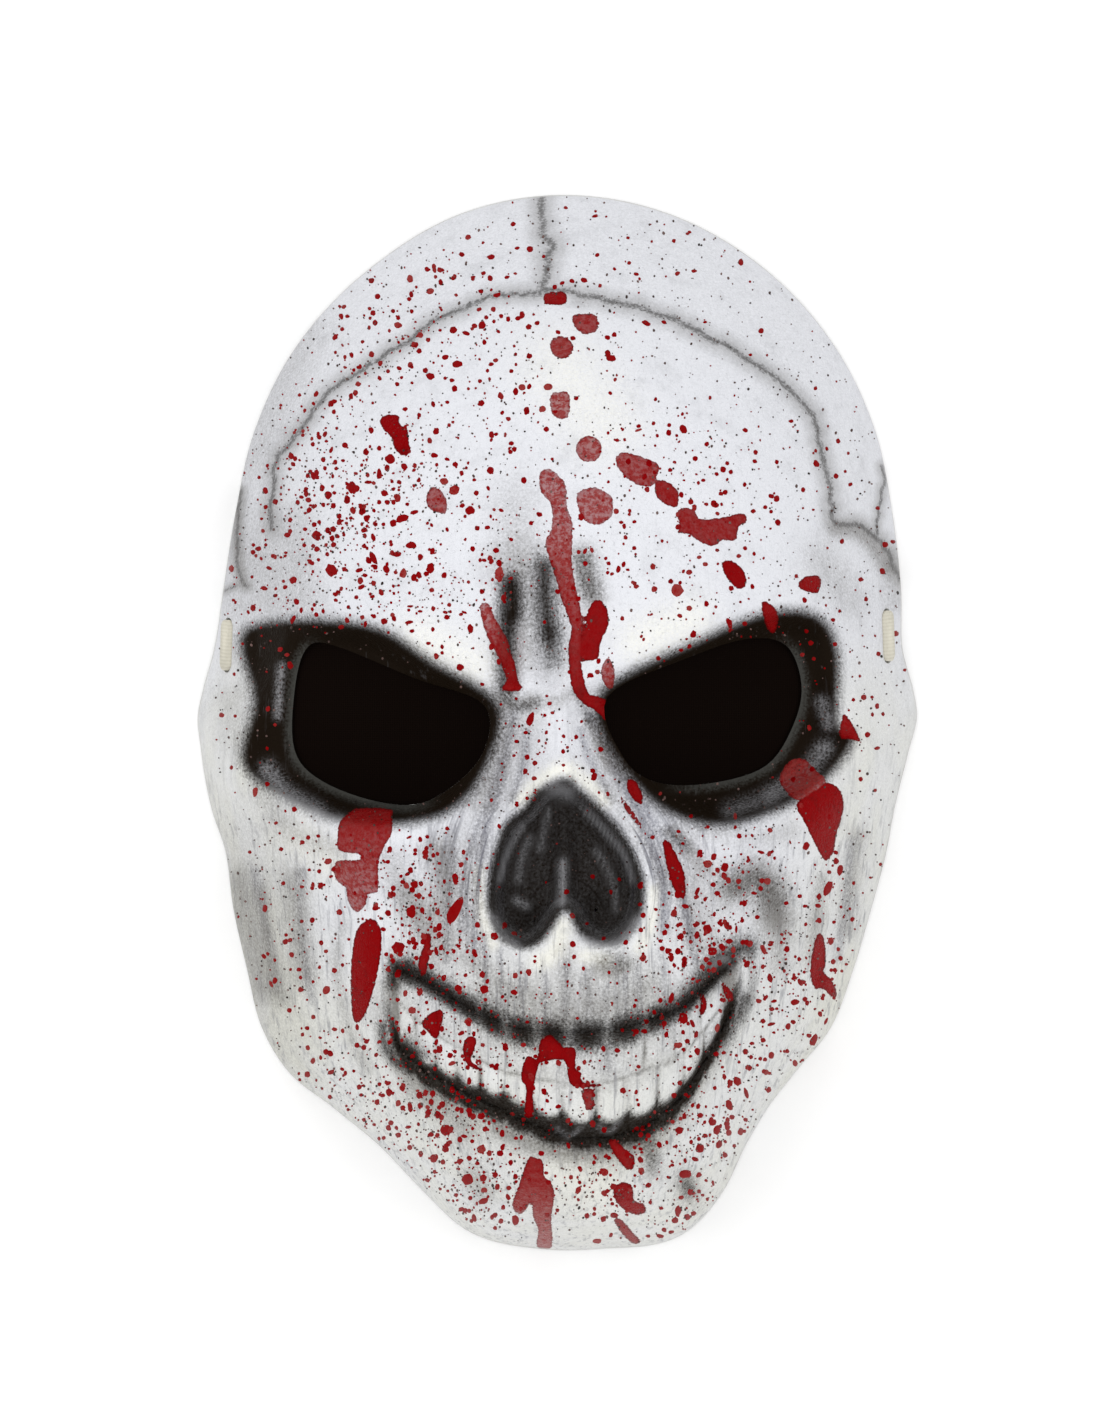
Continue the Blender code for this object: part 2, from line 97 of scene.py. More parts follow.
# Height, and how far the rim reaches to the left and to the right.
RIM_ROWS = (
    (132.4, 22.4, 26.0),
    (116.9, 49.0, 53.9),
    (96.3, 68.1, 72.2),
    (75.6, 78.2, 82.0),
    (54.9, 83.1, 86.4),
    (34.2, 86.4, 88.8),
    (18.7, 88.8, 89.2),
    (8.4, 91.6, 91.9),
    (2.0, 92.9, 92.9),
    (-7.1, 92.1, 90.8),
    (-22.6, 89.3, 87.0),
    (-32.9, 85.9, 85.1),
    (-48.4, 83.7, 81.0),
    (-63.9, 80.2, 76.4),
    (-79.5, 76.1, 70.2),
    (-89.8, 69.9, 61.9),
    (-100.1, 57.2, 54.0),
    (-110.5, 44.8, 48.0),
    (-120.8, 35.0, 43.0),
    (-131.1, 23.6, 34.0),
)
CROWN = (1.9, 136.3)
CHIN = ((-4.5, -136.0), (11.0, -136.0))

# Height, how far the face stands there, and how much less it stands at the sides.
SECTION_ROWS = (
    (-137.0, 84.0, 8.0),
    (-124.0, 88.0, 8.0),
    (-108.0, 88.0, 9.0),
    (-90.0, 90.0, 9.0),
    (-70.0, 88.0, 8.0),
    (-50.0, 85.0, 6.0),
    (-25.0, 83.0, 4.0),
    (0.0, 80.0, 3.0),
    (20.0, 85.0, 3.0),
    (40.0, 88.0, 4.0),
    (70.0, 86.0, 4.0),
    (100.0, 80.0, 4.0),
    (137.0, 66.0, 3.0),
)

# Direction in degrees, and how full the face stays.
FULLNESS_ROWS = (
    (-180.0, 3.4),
    (-150.0, 3.8),
    (-125.0, 5.0),
    (-110.0, 8.0),
    (-90.0, 12.0),
    (-70.0, 8.0),
    (-55.0, 5.0),
    (-30.0, 3.8),
    (0.0, 3.4),
    (45.0, 2.8),
    (90.0, 2.6),
    (135.0, 2.8),
    (180.0, 3.4),
)


def follow(knots, values, at):
    """A smooth curve through the values at the knots."""
    knots = np.asarray(knots, float)
    values = np.asarray(values, float)
    slopes = np.gradient(values, knots)
    spot = np.clip(np.searchsorted(knots, at) - 1, 0, len(knots) - 2)
    step = knots[spot + 1] - knots[spot]
    t = np.clip((at - knots[spot]) / step, 0.0, 1.0)
    start = values[spot] * (1 + 2 * t) * (1 - t) ** 2 + slopes[spot] * step * t * (1 - t) ** 2
    end = values[spot + 1] * t**2 * (3 - 2 * t) + slopes[spot + 1] * step * t**2 * (t - 1)
    return start + end


def ease(t):
    """0 below 0, 1 above 1, and smooth between."""
    t = np.clip(t, 0.0, 1.0)
    return t * t * (3 - 2 * t)


def curve_through(points, steps, closed):
    """A smooth line or closed outline through the points, with this many steps from each to the next."""
    points = np.asarray(points, float)
    if closed:
        before, after, beyond = (np.roll(points, shift, axis=0) for shift in (1, -1, -2))
    else:
        long = np.vstack([2 * points[0] - points[1], points, 2 * points[-1] - points[-2]])
        before, points, after, beyond = long[:-3], long[1:-2], long[2:-1], long[3:]
    rows = []
    for t in np.arange(steps) / steps:
        rows.append(
            0.5 * (2 * points + (after - before) * t
                   + (2 * before - 5 * points + 4 * after - beyond) * t**2
                   + (3 * points - before - 3 * after + beyond) * t**3)
        )
    line = np.stack(rows, axis=1).reshape(-1, 2)
    return line if closed else np.vstack([line, after[-1]])


def distance_to_line(x, y, points, closed=False):
    """How far each place is from the line through the points."""
    points = np.asarray(points, float)
    ends = np.roll(points, -1, axis=0) if closed else points[1:]
    starts = points if closed else points[:-1]
    nearest = np.full(x.shape, np.inf)
    for (ax, ay), (bx, by) in zip(starts, ends):
        run = (bx - ax) ** 2 + (by - ay) ** 2
        t = np.clip(((x - ax) * (bx - ax) + (y - ay) * (by - ay)) / run, 0, 1)
        nearest = np.minimum(nearest, np.hypot(x - ax - t * (bx - ax), y - ay - t * (by - ay)))
    return nearest


def depth_inside(x, y, outline):
    """The distance to a closed outline, positive inside it and negative outside."""
    inside = np.zeros(x.shape, bool)
    for (ax, ay), (bx, by) in zip(outline, np.roll(outline, -1, axis=0)):
        crosses = (ay > y) != (by > y)
        rise = by - ay if by != ay else 1.0
        inside ^= crosses & (x < ax + (y - ay) * (bx - ax) / rise)
    far = distance_to_line(x, y, outline, closed=True)
    return np.where(inside, far, -far)


def rim_radius(angle):
    """How far the rim lies from the middle, in each direction."""
    points = [CROWN, *CHIN]
    for height, left, right in RIM_ROWS:
        points += [(-left, height), (right, height)]
    points = np.array(sorted(points, key=lambda p: math.atan2(p[1], p[0])))
    knots = np.arctan2(points[:, 1], points[:, 0])
    radii = np.hypot(points[:, 0], points[:, 1])
    knots = np.concatenate([knots - 2 * math.pi, knots, knots + 2 * math.pi])
    return follow(knots, np.tile(radii, 3), angle)


def plain_form(x, y):
    """The face without its features: full in the middle and falling to the rim all round."""
    angle = np.arctan2(y, x)
    share = np.clip(np.hypot(x, y) / rim_radius(angle), 0.0, 1.0)
    heights, stands, drops = zip(*SECTION_ROWS)
    crest = follow(heights, stands, y) - follow(heights, drops, y) * (x / SECTION_SIDE) ** 2
    directions, full = zip(*FULLNESS_ROWS)
    fullness = follow(directions, full, np.degrees(angle))
    return crest * (1 - share**fullness) ** (1 / EDGE_ROUND), share


# The brow, cheekbones, orbits, nose and jaw are swellings and folds of the same shell. A fold has a
# name, a height over the form, a half width and the points that it follows; a swelling has a centre
# and two half sizes. The fine folds, as thin as a pencil line, are cut a little into the surface.
FOLDS = (
    ("brow left", 5.0, 8.0, ((-80, 31), (-55, 32), (-32, 21), (-15, 11))),
    ("brow right", 5.0, 8.0, ((12, 14), (34, 26), (56, 35), (74, 31))),
    ("outer orbit left", 6.0, 5.0, ((-82, 24), (-82, 4), (-83, -12))),
    ("outer orbit right", 6.0, 5.0, ((76, 24), (77, 4), (80, -6))),
    ("lower orbit left", 4.0, 6.0, ((-82, -16), (-60, -28), (-38, -29), (-22, -20))),
    ("lower orbit right", 4.0, 6.0, ((80, -11), (64, -25), (42, -30), (24, -24))),
    ("cheekbone left", 5.0, 9.0, ((-84, -21), (-66, -31), (-50, -36))),
    ("cheekbone right", 5.0, 9.0, ((82, -18), (66, -30), (50, -36))),
    ("nose bridge", 8.0, 8.0, ((-2, 6), (0, -4), (1, -13))),
    ("nose rim left", 2.5, 4.0, ((-2, -12), (-15, -23), (-21, -42), (-16, -60))),
    ("nose rim right", 2.5, 4.0, ((4, -12), (17, -23), (26, -42), (18, -60))),
    ("brow furrow left", -3.5, 2.6, ((-12, 36), (-12, 12))),
    ("brow furrow middle", -3.0, 3.6, ((-3, 38), (-2, 12))),
    ("cheek crease left", -3.0, 4.0, ((-55, -51), (-57, -62), (-55, -77), (-49, -90))),
    ("cheek crease right", -3.0, 4.0, ((51, -39), (57, -45), (58, -56), (55, -70))),
    ("side fold left", -2.5, 3.5, ((-77, -40), (-75, -55), (-70, -70))),
    ("side fold right", -2.5, 3.5, ((73, -40), (71, -55), (66, -68))),
    ("jaw line left", 2.5, 6.0, ((-62, -86), (-44, -100), (-32, -116))),
    ("jaw line right", 2.5, 6.0, ((56, -84), (44, -100), (38, -116))),
)

SWELLS = (
    ("muzzle", 5.0, 1.0, -82.0, 36.0, 24.0),
    ("chin", 4.0, 4.0, -121.0, 22.0, 12.0),
    ("cheek hollow left", -4.0, -36.0, -52.0, 8.0, 13.0),
    ("cheek hollow right", -4.0, 46.0, -47.0, 9.0, 9.0),
    ("temple left", -3.0, -76.0, 52.0, 10.0, 24.0),
    ("temple right", -3.0, 79.0, 52.0, 10.0, 24.0),
    ("chin dent left", -2.0, -21.0, -119.0, 4.0, 4.0),
    ("chin dent right", -2.0, 33.0, -119.0, 4.0, 4.0),
)

FINE_FOLD_STEPS = 6
FINE_FOLDS = (
    ("bridge groove left", -1.0, 1.0, ((-13, 2), (-13.5, -8), (-12.5, -19), (-14, -23))),
    ("bridge groove right", -1.0, 1.0, ((13, -2), (17, -12), (22, -22), (27, -34))),
    ("bridge cross left", -0.6, 1.0, ((-14, 8), (-8, 7.5), (-2, 6), (3, 7), (10, 8))),
    ("root 1", -0.8, 0.9, ((2, -62), (2.2, -78))),
    ("root 2", -0.7, 0.9, ((20, -62), (20.5, -77))),
    ("root 3", -0.5, 0.9, ((9, -66), (8.5, -78))),
    ("root 4", -0.6, 0.9, ((-8, -63), (-7, -77))),
    ("root 5", -0.6, 0.9, ((-20, -60), (-19, -73))),
    ("root 6", -0.6, 0.9, ((-33, -50), (-32, -64))),
    ("root 7", -0.6, 0.9, ((30, -56), (30, -72))),
    ("root 8", -0.6, 0.9, ((36, -46), (37, -64))),
    ("cheek line left 1", -0.8, 1.0, ((-67, -38), (-66, -55), (-62, -72))),
    ("cheek line left 2", -0.7, 1.0, ((-82, -36), (-80, -50), (-76, -64))),
    ("cheek line right 1", -0.8, 1.0, ((66, -36), (65, -50), (63, -64))),
    ("cheek line right 2", -0.7, 1.0, ((78, -38), (76, -50), (72, -62))),
    ("inner cheek left", -0.8, 1.2, ((-23, -22), (-29, -38), (-30, -56))),
    ("inner cheek right", -0.8, 1.2, ((27, -24), (34, -38), (36, -54))),
)

# Each eye has a socket with a flat floor, and the floor is cut out along an outline. The cut's edge
# leans, so a lip of bare wall shows along its outer and lower sides; its lighter grey there is partly the
# bare wall and partly a painted highlight where the leaning face catches the light.
SOCKET_WALL_RUN = 8.0
SOCKET_LIP = 1.2
LIP_WIDE = 3.0
LIP_DROP = 1.5
LIP_SIDE_RUN = 12.0
SOCKET_STEPS = 5
OPENING_STEPS = 6
EYES = {
    "left": {
        "socket": ((-80, 24), (-50, 25), (-32, 15), (-17, 6), (-16, -4), (-24, -19), (-36, -25),
                   (-55, -25), (-72, -18), (-81, -10), (-78, 6)),
        "opening": ((-65, 19), (-58, 20), (-37, 11.5), (-19, 4.5), (-20, -9), (-33, -20),
                    (-46, -20.5), (-61, -15), (-68, -7), (-68, 8)),
        "middle": (-43.0, 0.0),
        "floor": (59.0, 0.55, 0.12),
        "lip_side": (-0.8, -0.6),
    },
    "right": {
        "socket": ((12, 8), (37, 21), (55, 28), (67, 27), (72, 18), (72, 0), (76, -4), (70, -13),
                   (59, -21), (42, -26), (26, -21), (13, -5)),
        "opening": ((12.8, 6.6), (34, 16.9), (49, 21.6), (59, 20), (63, 10), (61, -0.4), (54, -11),
                    (40.4, -15.5), (26, -15.5), (17, -9)),
        "middle": (39.0, 2.0),
        "floor": (61.0, -0.55, 0.12),
        "lip_side": (0.8, -0.6),
    },
}


def socket_floor(eye, x, y):
    """The plane of a socket's floor."""
    stand, to_right, up = eye["floor"]
    middle_x, middle_y = eye["middle"]
    return stand + to_right * (x - middle_x) + up * (y - middle_y)


def lip_share(eye, x, y):
    """1 at the opening's edge on its outer and lower sides, falling to 0 a lip's width away."""
    outline = curve_through(eye["opening"], OPENING_STEPS, True)
    far = distance_to_line(x, y, outline, closed=True)
    middle_x, middle_y = eye["middle"]
    side_x, side_y = eye["lip_side"]
    lean = ((x - middle_x) * side_x + (y - middle_y) * side_y) / LIP_SIDE_RUN
    return ease(1 - far / LIP_WIDE) * ease(lean)


# The nose is a blind cavity, an upside-down heart with a septum and two deeper nostrils. The mouth is
# two rows of teeth between the gums: across from left to right, each row has x, upper gum, bite and
# lower gum, and the two rows of gaps say where one tooth ends and the next begins.
NOSE_DEPTH = 12.0
NOSE_WALL_RUN = 5.0
SEPTUM_RISE = 0.45
SEPTUM_WIDE = 2.2
SEPTUM_X = 1.5
SEPTUM_TOP_Y = -20.0
NOSE_PX = (
    (565, 778), (537, 790), (524, 807), (505, 824), (493, 856), (488, 885), (488, 908), (497, 933),
    (516, 947), (536, 945), (550, 930), (562, 912), (569, 914), (577, 930), (592, 943), (615, 945),
    (631, 933), (640, 916), (644, 890), (641, 870), (631, 846), (617, 826), (600, 807), (580, 789),
)
NOSE_EDGE = curve_through(seen(NOSE_PX), 4, True)
NOSTRILS = (
    ("left", 2.5, -6.2, -51.3, 3.0, 3.6),
    ("right", 2.5, 10.0, -48.0, 4.2, 4.4),
)

TOOTH_BULGE = 2.4
TOOTH_NOTCH = 1.6
TOOTH_ROOT_SHARE = 1 / 3
GUM_GROOVE = 2.6
GUM_GROOVE_WIDE = 2.2
MOUTH_CORNER = 6.0
MOUTH_ROWS = (
    (-46.0, -62.0, -66.0, -71.0),
    (-42.0, -63.5, -71.0, -82.0),
    (-36.0, -65.5, -77.0, -88.5),
    (-28.0, -70.5, -82.5, -93.5),
    (-15.0, -77.0, -89.5, -100.0),
    (0.0, -79.3, -93.0, -106.5),
    (12.0, -79.0, -93.0, -107.4),
    (22.0, -77.0, -90.0, -104.5),
    (32.0, -73.0, -85.5, -96.5),
    (41.0, -65.0, -75.0, -82.0),
    (49.0, -58.0, -62.0, -66.0),
)
UPPER_GAPS = (-41, -36, -31, -26, -20.5, -13.6, -5.3, 2.7, 12.8, 22.4, 30.4, 36.8, 42.5)
LOWER_GAPS = (-41, -36.8, -31.4, -25.7, -20, -13.6, -7.1, 1.4, 9.9, 18.1, 25.7, 32.2, 37.7, 42.5)


def tooth_row(x, gaps):
    """1 in the middle of each tooth of a row, 0 at the gaps between its teeth."""
    gaps = np.asarray(gaps, float)
    spot = np.clip(np.searchsorted(gaps, x) - 1, 0, len(gaps) - 2)
    t = (x - gaps[spot]) / (gaps[spot + 1] - gaps[spot])
    return np.sqrt(np.clip(1 - (2 * t - 1) ** 2, 0.0, 1.0))


def tooth_length(share):
    """How full a tooth is along its length, from 0 at its gum to 1 at its rounded tip."""
    share = np.clip(share, 0, 1)
    return np.sqrt(1 - share**4) * ease(share / TOOTH_ROOT_SHARE)


def mouth(x, y):
    """The height that the gums, the gaps and the two rows of teeth add."""
    across, upper, bite, lower = zip(*MOUTH_ROWS)
    top, middle, bottom = (follow(across, row, x) for row in (upper, bite, lower))
    bulge = np.where(
        y > middle,
        tooth_row(x, UPPER_GAPS) * tooth_length((top - y) / (top - middle)),
        tooth_row(x, LOWER_GAPS) * tooth_length((y - bottom) / (middle - bottom)),
    )
    inside = (y < top) & (y > bottom) & (x > across[0]) & (x < across[-1])
    teeth = np.where(inside, TOOTH_BULGE * bulge - TOOTH_NOTCH, 0.0)
    side = ease((x - across[0]) / MOUTH_CORNER) * ease((across[-1] - x) / MOUTH_CORNER)
    groove = np.exp(-((y - top) / GUM_GROOVE_WIDE) ** 2) + np.exp(-((y - bottom) / GUM_GROOVE_WIDE) ** 2)
    return side * (teeth - GUM_GROOVE * groove)


# The skull's seams are thin jagged grooves: the long one from the crown, the two that run down to the
# temples, and the small branches over the ears. Their points are places in the photo.
SEAM_DEEP = 0.9
SEAM_HALF_WIDE = 0.9
SEAM_STEP = 1.6
SEAM_CURVE_STEPS = 8
SEAM_SWAY = 0.45
SEAM_FAR_MOST = 20.0
SEAM_RIM_SHARE = 0.03
SEAMS = (
    ("crown", 1.5, ((541, 197), (543, 215), (541, 235), (552, 243), (548, 255), (547, 275), (541, 291))),
    ("left", 1.1, ((543, 293), (493, 296), (464, 308), (432, 323), (408, 340), (374, 362), (347, 379),
                   (321, 400), (304, 425), (287, 446), (277, 459), (272, 495), (270, 531))),
    ("right", 1.2, ((540, 289), (572, 292), (615, 302), (659, 314), (689, 327), (719, 342), (751, 362),
                    (776, 379), (796, 396), (811, 411), (816, 429), (821, 454), (829, 478), (832, 503),
                    (835, 523), (858, 526), (873, 536), (888, 553), (900, 582))),
    ("right branch", 0.7, ((883, 466), (884, 483), (878, 516), (877, 536))),
    ("left temple", 0.7, ((240, 490), (237, 540), (238, 571), (247, 590))),
    ("left branch", 0.5, ((225, 592), (240, 584))),
)


def jagged(points, sway, seed):
    """A line through the points with a small, steady zigzag."""
    line = curve_through(points, SEAM_CURVE_STEPS, False)
    run = np.concatenate([[0], np.cumsum(np.hypot(*np.diff(line, axis=0).T))])
    at = np.arange(0, run[-1], SEAM_STEP)
    line = np.stack([np.interp(at, run, line[:, 0]), np.interp(at, run, line[:, 1])], axis=1)
    along = np.gradient(line, axis=0)
    across = np.stack([-along[:, 1], along[:, 0]], axis=1) / np.hypot(*along.T)[:, None]
    return line + across * np.random.default_rng(seed).uniform(-sway, sway, len(line))[:, None]


SEAM_LINES = [
    (strength, jagged(seen(points), SEAM_SWAY, seed))
    for seed, (_, strength, points) in enumerate(SEAMS)
]


def seam_distance(x, y):
    """How far each place is from a seam in millimetres, counted longer for the weak seams."""
    far = np.full(x.shape, SEAM_FAR_MOST)
    for strength, line in SEAM_LINES:
        far = np.minimum(far, distance_to_line(x, y, line) / strength)
    return far


# The elastic strap leaves through a slot in each temple, in a pad that is flatter than the wall
# around it. The whole face is the plain form with all of these features added.
SLOTS = {"left": (-85.3, 20.0), "right": (85.2, 22.4)}
SLOT_LONG = 14.2
SLOT_WIDE = 5.2
SLOT_LEAN = math.radians(9.0)
SLOT_PAD_SLOPE = 1.9
SLOT_PAD_REACH = 11.0
SLOT_PAD_MOST = 8.0
SLOT_PAD_OVAL = 0.7
SLOT_PAD_FADE = 1.6
SLOT_RIM_SHARE = 0.02


def face_height(x, y, fine):
    """How far the outer face stands over the rim's plane, with or without its finest relief."""
    z, share = plain_form(x, y)
    hold = ease((1 - share) / PLAIN_RIM_SHARE)
    for _, height, wide, points in FOLDS:
        z = z + hold * height * np.exp(-(distance_to_line(x, y, points) / wide) ** 2)
    for _, height, middle_x, middle_y, wide, tall in SWELLS:
        z = z + hold * height * np.exp(-((x - middle_x) / wide) ** 2 - ((y - middle_y) / tall) ** 2)
    for eye in EYES.values():
        into = depth_inside(x, y, curve_through(eye["socket"], SOCKET_STEPS, True))
        floor = socket_floor(eye, x, y)
        z = z + np.minimum(floor - z, 0) * ease((SOCKET_LIP + into) / SOCKET_WALL_RUN)
    into = depth_inside(x, y, NOSE_EDGE)
    below_top = ease((y - SEPTUM_TOP_Y) / SEPTUM_TOP_Y)
    septum = SEPTUM_RISE * below_top * np.exp(-((x - SEPTUM_X) / SEPTUM_WIDE) ** 2)
    z = z - NOSE_DEPTH * ease(into / NOSE_WALL_RUN) * (1 - septum)
    z = z + mouth(x, y)
    for side, (slot_x, slot_y) in SLOTS.items():
        outward = -1 if side == "left" else 1
        stand = plain_form(np.array([slot_x]), np.array([slot_y]))[0][0]
        pad = stand - SLOT_PAD_SLOPE * outward * (x - slot_x)
        far = np.hypot(x - slot_x, (y - slot_y) * SLOT_PAD_OVAL)
        near = ease(SLOT_PAD_FADE - far / SLOT_PAD_REACH) * ease((1 - share) / SLOT_RIM_SHARE)
        z = z + near * np.clip(pad - z, -SLOT_PAD_MOST, SLOT_PAD_MOST)
    if fine:
        for _, height, wide, points in FINE_FOLDS:
            line = curve_through(points, FINE_FOLD_STEPS, False)
            z = z + hold * height * np.exp(-(distance_to_line(x, y, line) / wide) ** 2)
        for _, deep, middle_x, middle_y, wide, tall in NOSTRILS:
            z = z - deep * np.exp(-((x - middle_x) / wide) ** 2 - ((y - middle_y) / tall) ** 2)
        for eye in EYES.values():
            z = z - LIP_DROP * lip_share(eye, x, y)
        seam = np.exp(-((seam_distance(x, y) / SEAM_HALF_WIDE) ** 2))
        z = z - SEAM_DEEP * seam * ease((1 - share) / SEAM_RIM_SHARE)
    return np.maximum(z, 0.0)


# The shell is made as the mould makes it: a fine outer face, a plainer inner face one wall below it,
# a level cut round the rim, and then the eye openings and the strap slots cut through.
OUTER_GRID = (244, 318)
INNER_GRID = (100, 130)
SKIRT = 6.0
RIM_SPREAD = 0.9999
EYE_CUT_FROM = 30.0
EYE_CUT_TO = 112.0
SLOT_CUT_REACH = 8.0
SLOT_CUT_SIDES = 32
SHARP_FROM = math.radians(50)


def make_object(name, vertices, faces):
    mesh = bpy.data.meshes.new(name)
    mesh.from_pydata([tuple(v) for v in vertices], [], faces)
    return place_new(name, mesh)


def dome(name, grid, fine, inward, skirt_z):
    """A closed solid under the face: a square grid rounded to a disc and spread to the rim, raised to
    the face, sunk inward by a wall, and closed by a skirt and a level bottom."""
    across, up = grid
    u, v = np.meshgrid(np.linspace(-1, 1, across + 1), np.linspace(-1, 1, up + 1))
    disc_x = (u * np.sqrt(1 - v**2 / 2)).ravel()
    disc_y = (v * np.sqrt(1 - u**2 / 2)).ravel()
    spread = np.hypot(disc_x, disc_y)
    angle = np.arctan2(disc_y, disc_x)
    reach = rim_radius(angle) * spread * (1 + EDGE_CLOSE - EDGE_CLOSE * spread**4)
    x, y = reach * np.cos(angle), reach * np.sin(angle)
    z = np.where(spread > RIM_SPREAD, 0.0, face_height(x, y, fine))
    places = true_place(x, y, z)
    number = np.arange(len(places)).reshape(up + 1, across + 1)
    quads = np.stack([number[:-1, :-1], number[:-1, 1:], number[1:, 1:], number[1:, :-1]], axis=-1)
    quads = quads.reshape(-1, 4).tolist()
    edge = np.concatenate([number[0, :-1], number[:-1, -1], number[-1, :0:-1], number[:0:-1, 0]])
    if inward:
        mesh = bpy.data.meshes.new(name)
        mesh.from_pydata([tuple(v) for v in places], [], quads)
        normals = np.zeros(len(places) * 3)
        mesh.vertices.foreach_get("normal", normals)
        places = places - normals.reshape(-1, 3) * inward * MM
        bpy.data.meshes.remove(mesh)
    skirt = places[edge].copy()
    skirt[:, 2] = skirt_z * MM
    first = len(places)
    ring = [first + i for i in range(len(edge))]
    walls = []
    for i in range(len(edge)):
        j = (i + 1) % len(edge)
        walls.append([int(edge[j]), int(edge[i]), ring[i], ring[j]])
    return make_object(name, np.vstack([places, skirt]), quads + walls + [ring[::-1]])


def prism(name, starts, ends):
    """A closed solid between two outlines with as many points each."""
    bm = bmesh.new()
    near = [bm.verts.new(p) for p in starts]
    far = [bm.verts.new(p) for p in ends]
    bm.faces.new(near)
    bm.faces.new(reversed(far))
    for i in range(len(near)):
        j = (i + 1) % len(near)
        bm.faces.new((near[i], far[i], far[j], near[j]))
    bmesh.ops.recalc_face_normals(bm, faces=bm.faces)
    mesh = bpy.data.meshes.new(name)
    bm.to_mesh(mesh)
    bm.free()
    return place_new(name, mesh)


def stadium(length, wide, sides):
    """The points of an outline with two straight sides and two round ends."""
    radius = wide / 2
    reach = length / 2 - radius
    points = []
    for i in range(sides):
        angle = 2 * math.pi * (i + 0.5) / sides
        end = reach if math.sin(angle) > 0 else -reach
        points.append((radius * math.cos(angle), radius * math.sin(angle) + end))
    return points


def slot_frame(side):
    """A slot's middle on the outer face, and its outward and lengthwise directions."""
    x, y = SLOTS[side]
    ahead = np.array([x, x + 0.5, x - 0.5, x, x])
    over = np.array([y, y, y, y + 2.0, y - 2.0])
    z = face_height(ahead, over, False)
    normal = Vector((-(z[1] - z[2]) / 1.0, -(z[3] - z[4]) / 4.0, 1.0)).normalized()
    lean = SLOT_LEAN if side == "left" else -SLOT_LEAN
    along = Vector((math.sin(lean), math.cos(lean), 0.0))
    along = (along - normal * along.dot(normal)).normalized()
    return Vector(true_place(x, y, z[0])), normal, along


def cut_away(body, cutters):
    """Cuts the solids out of the body, one after another, and applies the result."""
    for cutter in cutters:
        cut = body.modifiers.new(cutter.name, "BOOLEAN")
        cut.operation = "DIFFERENCE"
        cut.solver = "MANIFOLD"
        cut.object = cutter
    bpy.context.view_layer.update()
    made = bpy.data.meshes.new_from_object(body.evaluated_get(bpy.context.evaluated_depsgraph_get()))
    body.modifiers.clear()
    body.data = made
    for cutter in cutters:
        bpy.data.objects.remove(cutter, do_unlink=True)


shell = dome("skull_shell", OUTER_GRID, True, 0.0, 0.0)
taken = [dome("hollow", INNER_GRID, False, WALL, -SKIRT)]
for eye in EYES.values():
    outline = curve_through(eye["opening"], OPENING_STEPS, True)
    ends = [
        true_place(outline[:, 0], outline[:, 1], np.full(len(outline), height)).tolist()
        for height in (EYE_CUT_FROM, EYE_CUT_TO)
    ]
    taken.append(prism("eye_cut", *ends))
for side in SLOTS:
    middle, normal, along = slot_frame(side)
    section = [middle + along.cross(normal) * a * MM + along * b * MM
               for a, b in stadium(SLOT_LONG, SLOT_WIDE, SLOT_CUT_SIDES)]
    reach = normal * SLOT_CUT_REACH * MM
    taken.append(prism("slot_cut", [p - reach for p in section], [p + reach for p in section]))
cut_away(shell, taken)
shell.data.shade_smooth()
shell.data.set_sharp_from_angle(angle=SHARP_FROM)
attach(shell, "root")
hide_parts("mask_shell")

# The paint is planned on the shell's own vertices: airbrushed black in the hollows, soft grey shading,
# blue-grey brush streaks, rubbed-back grey, seams and the large splashes, as a painter would lay them,
# with painted shade darkening the sides, painted highlights on raised places and a lighter lip at the eye
# openings.
# Points and sizes are in the photo's pixels: strength, half width and the line that a stroke follows.
BLACK_STROKES = (
    (1.0, 11, ((511, 582), (514, 600), (513, 614))),
    (0.8, 10, ((506, 590), (502, 640), (503, 688))),
    (0.9, 7, ((511, 614), (509, 645), (512, 688))),
    (0.95, 13, ((544, 566), (545, 600), (549, 636))),
    (0.5, 12, ((583, 560), (590, 590))),
    (0.7, 10, ((550, 632), (552, 660))),
    (0.5, 6, ((502, 700), (520, 706), (536, 702))),
    (0.9, 8, ((392, 984), (396, 968), (408, 964), (416, 978))),
    (0.9, 12, ((692, 992), (706, 974), (720, 960), (738, 949), (748, 946))),
    (0.6, 8, ((476, 1000), (500, 1014), (530, 1022))),
    (0.7, 9, ((404, 968), (420, 978), (440, 986))),
    (0.45, 5, ((750, 952), (753, 975), (749, 1000), (742, 1020))),
    (0.85, 7, ((382, 1026), (385, 1046), (396, 1062), (412, 1070))),
    (1.0, 13, ((404, 1046), (414, 1056))),
    (0.8, 10, ((722, 1036), (734, 1018), (744, 1000))),
    (0.7, 9, ((702, 1064), (712, 1050), (724, 1034))),
    (0.8, 8, ((686, 1182), (689, 1190))),
    (0.4, 14, ((738, 884), (758, 880), (772, 898))),
    (0.4, 9, ((608, 958), (622, 964))),
    (0.45, 9, ((648, 1134), (652, 1160))),
    (0.5, 10, ((600, 700), (612, 730), (628, 764))),
    (0.5, 8, ((668, 832), (684, 846))),
    (0.6, 6, ((578, 690), (584, 706), (590, 722))),
)
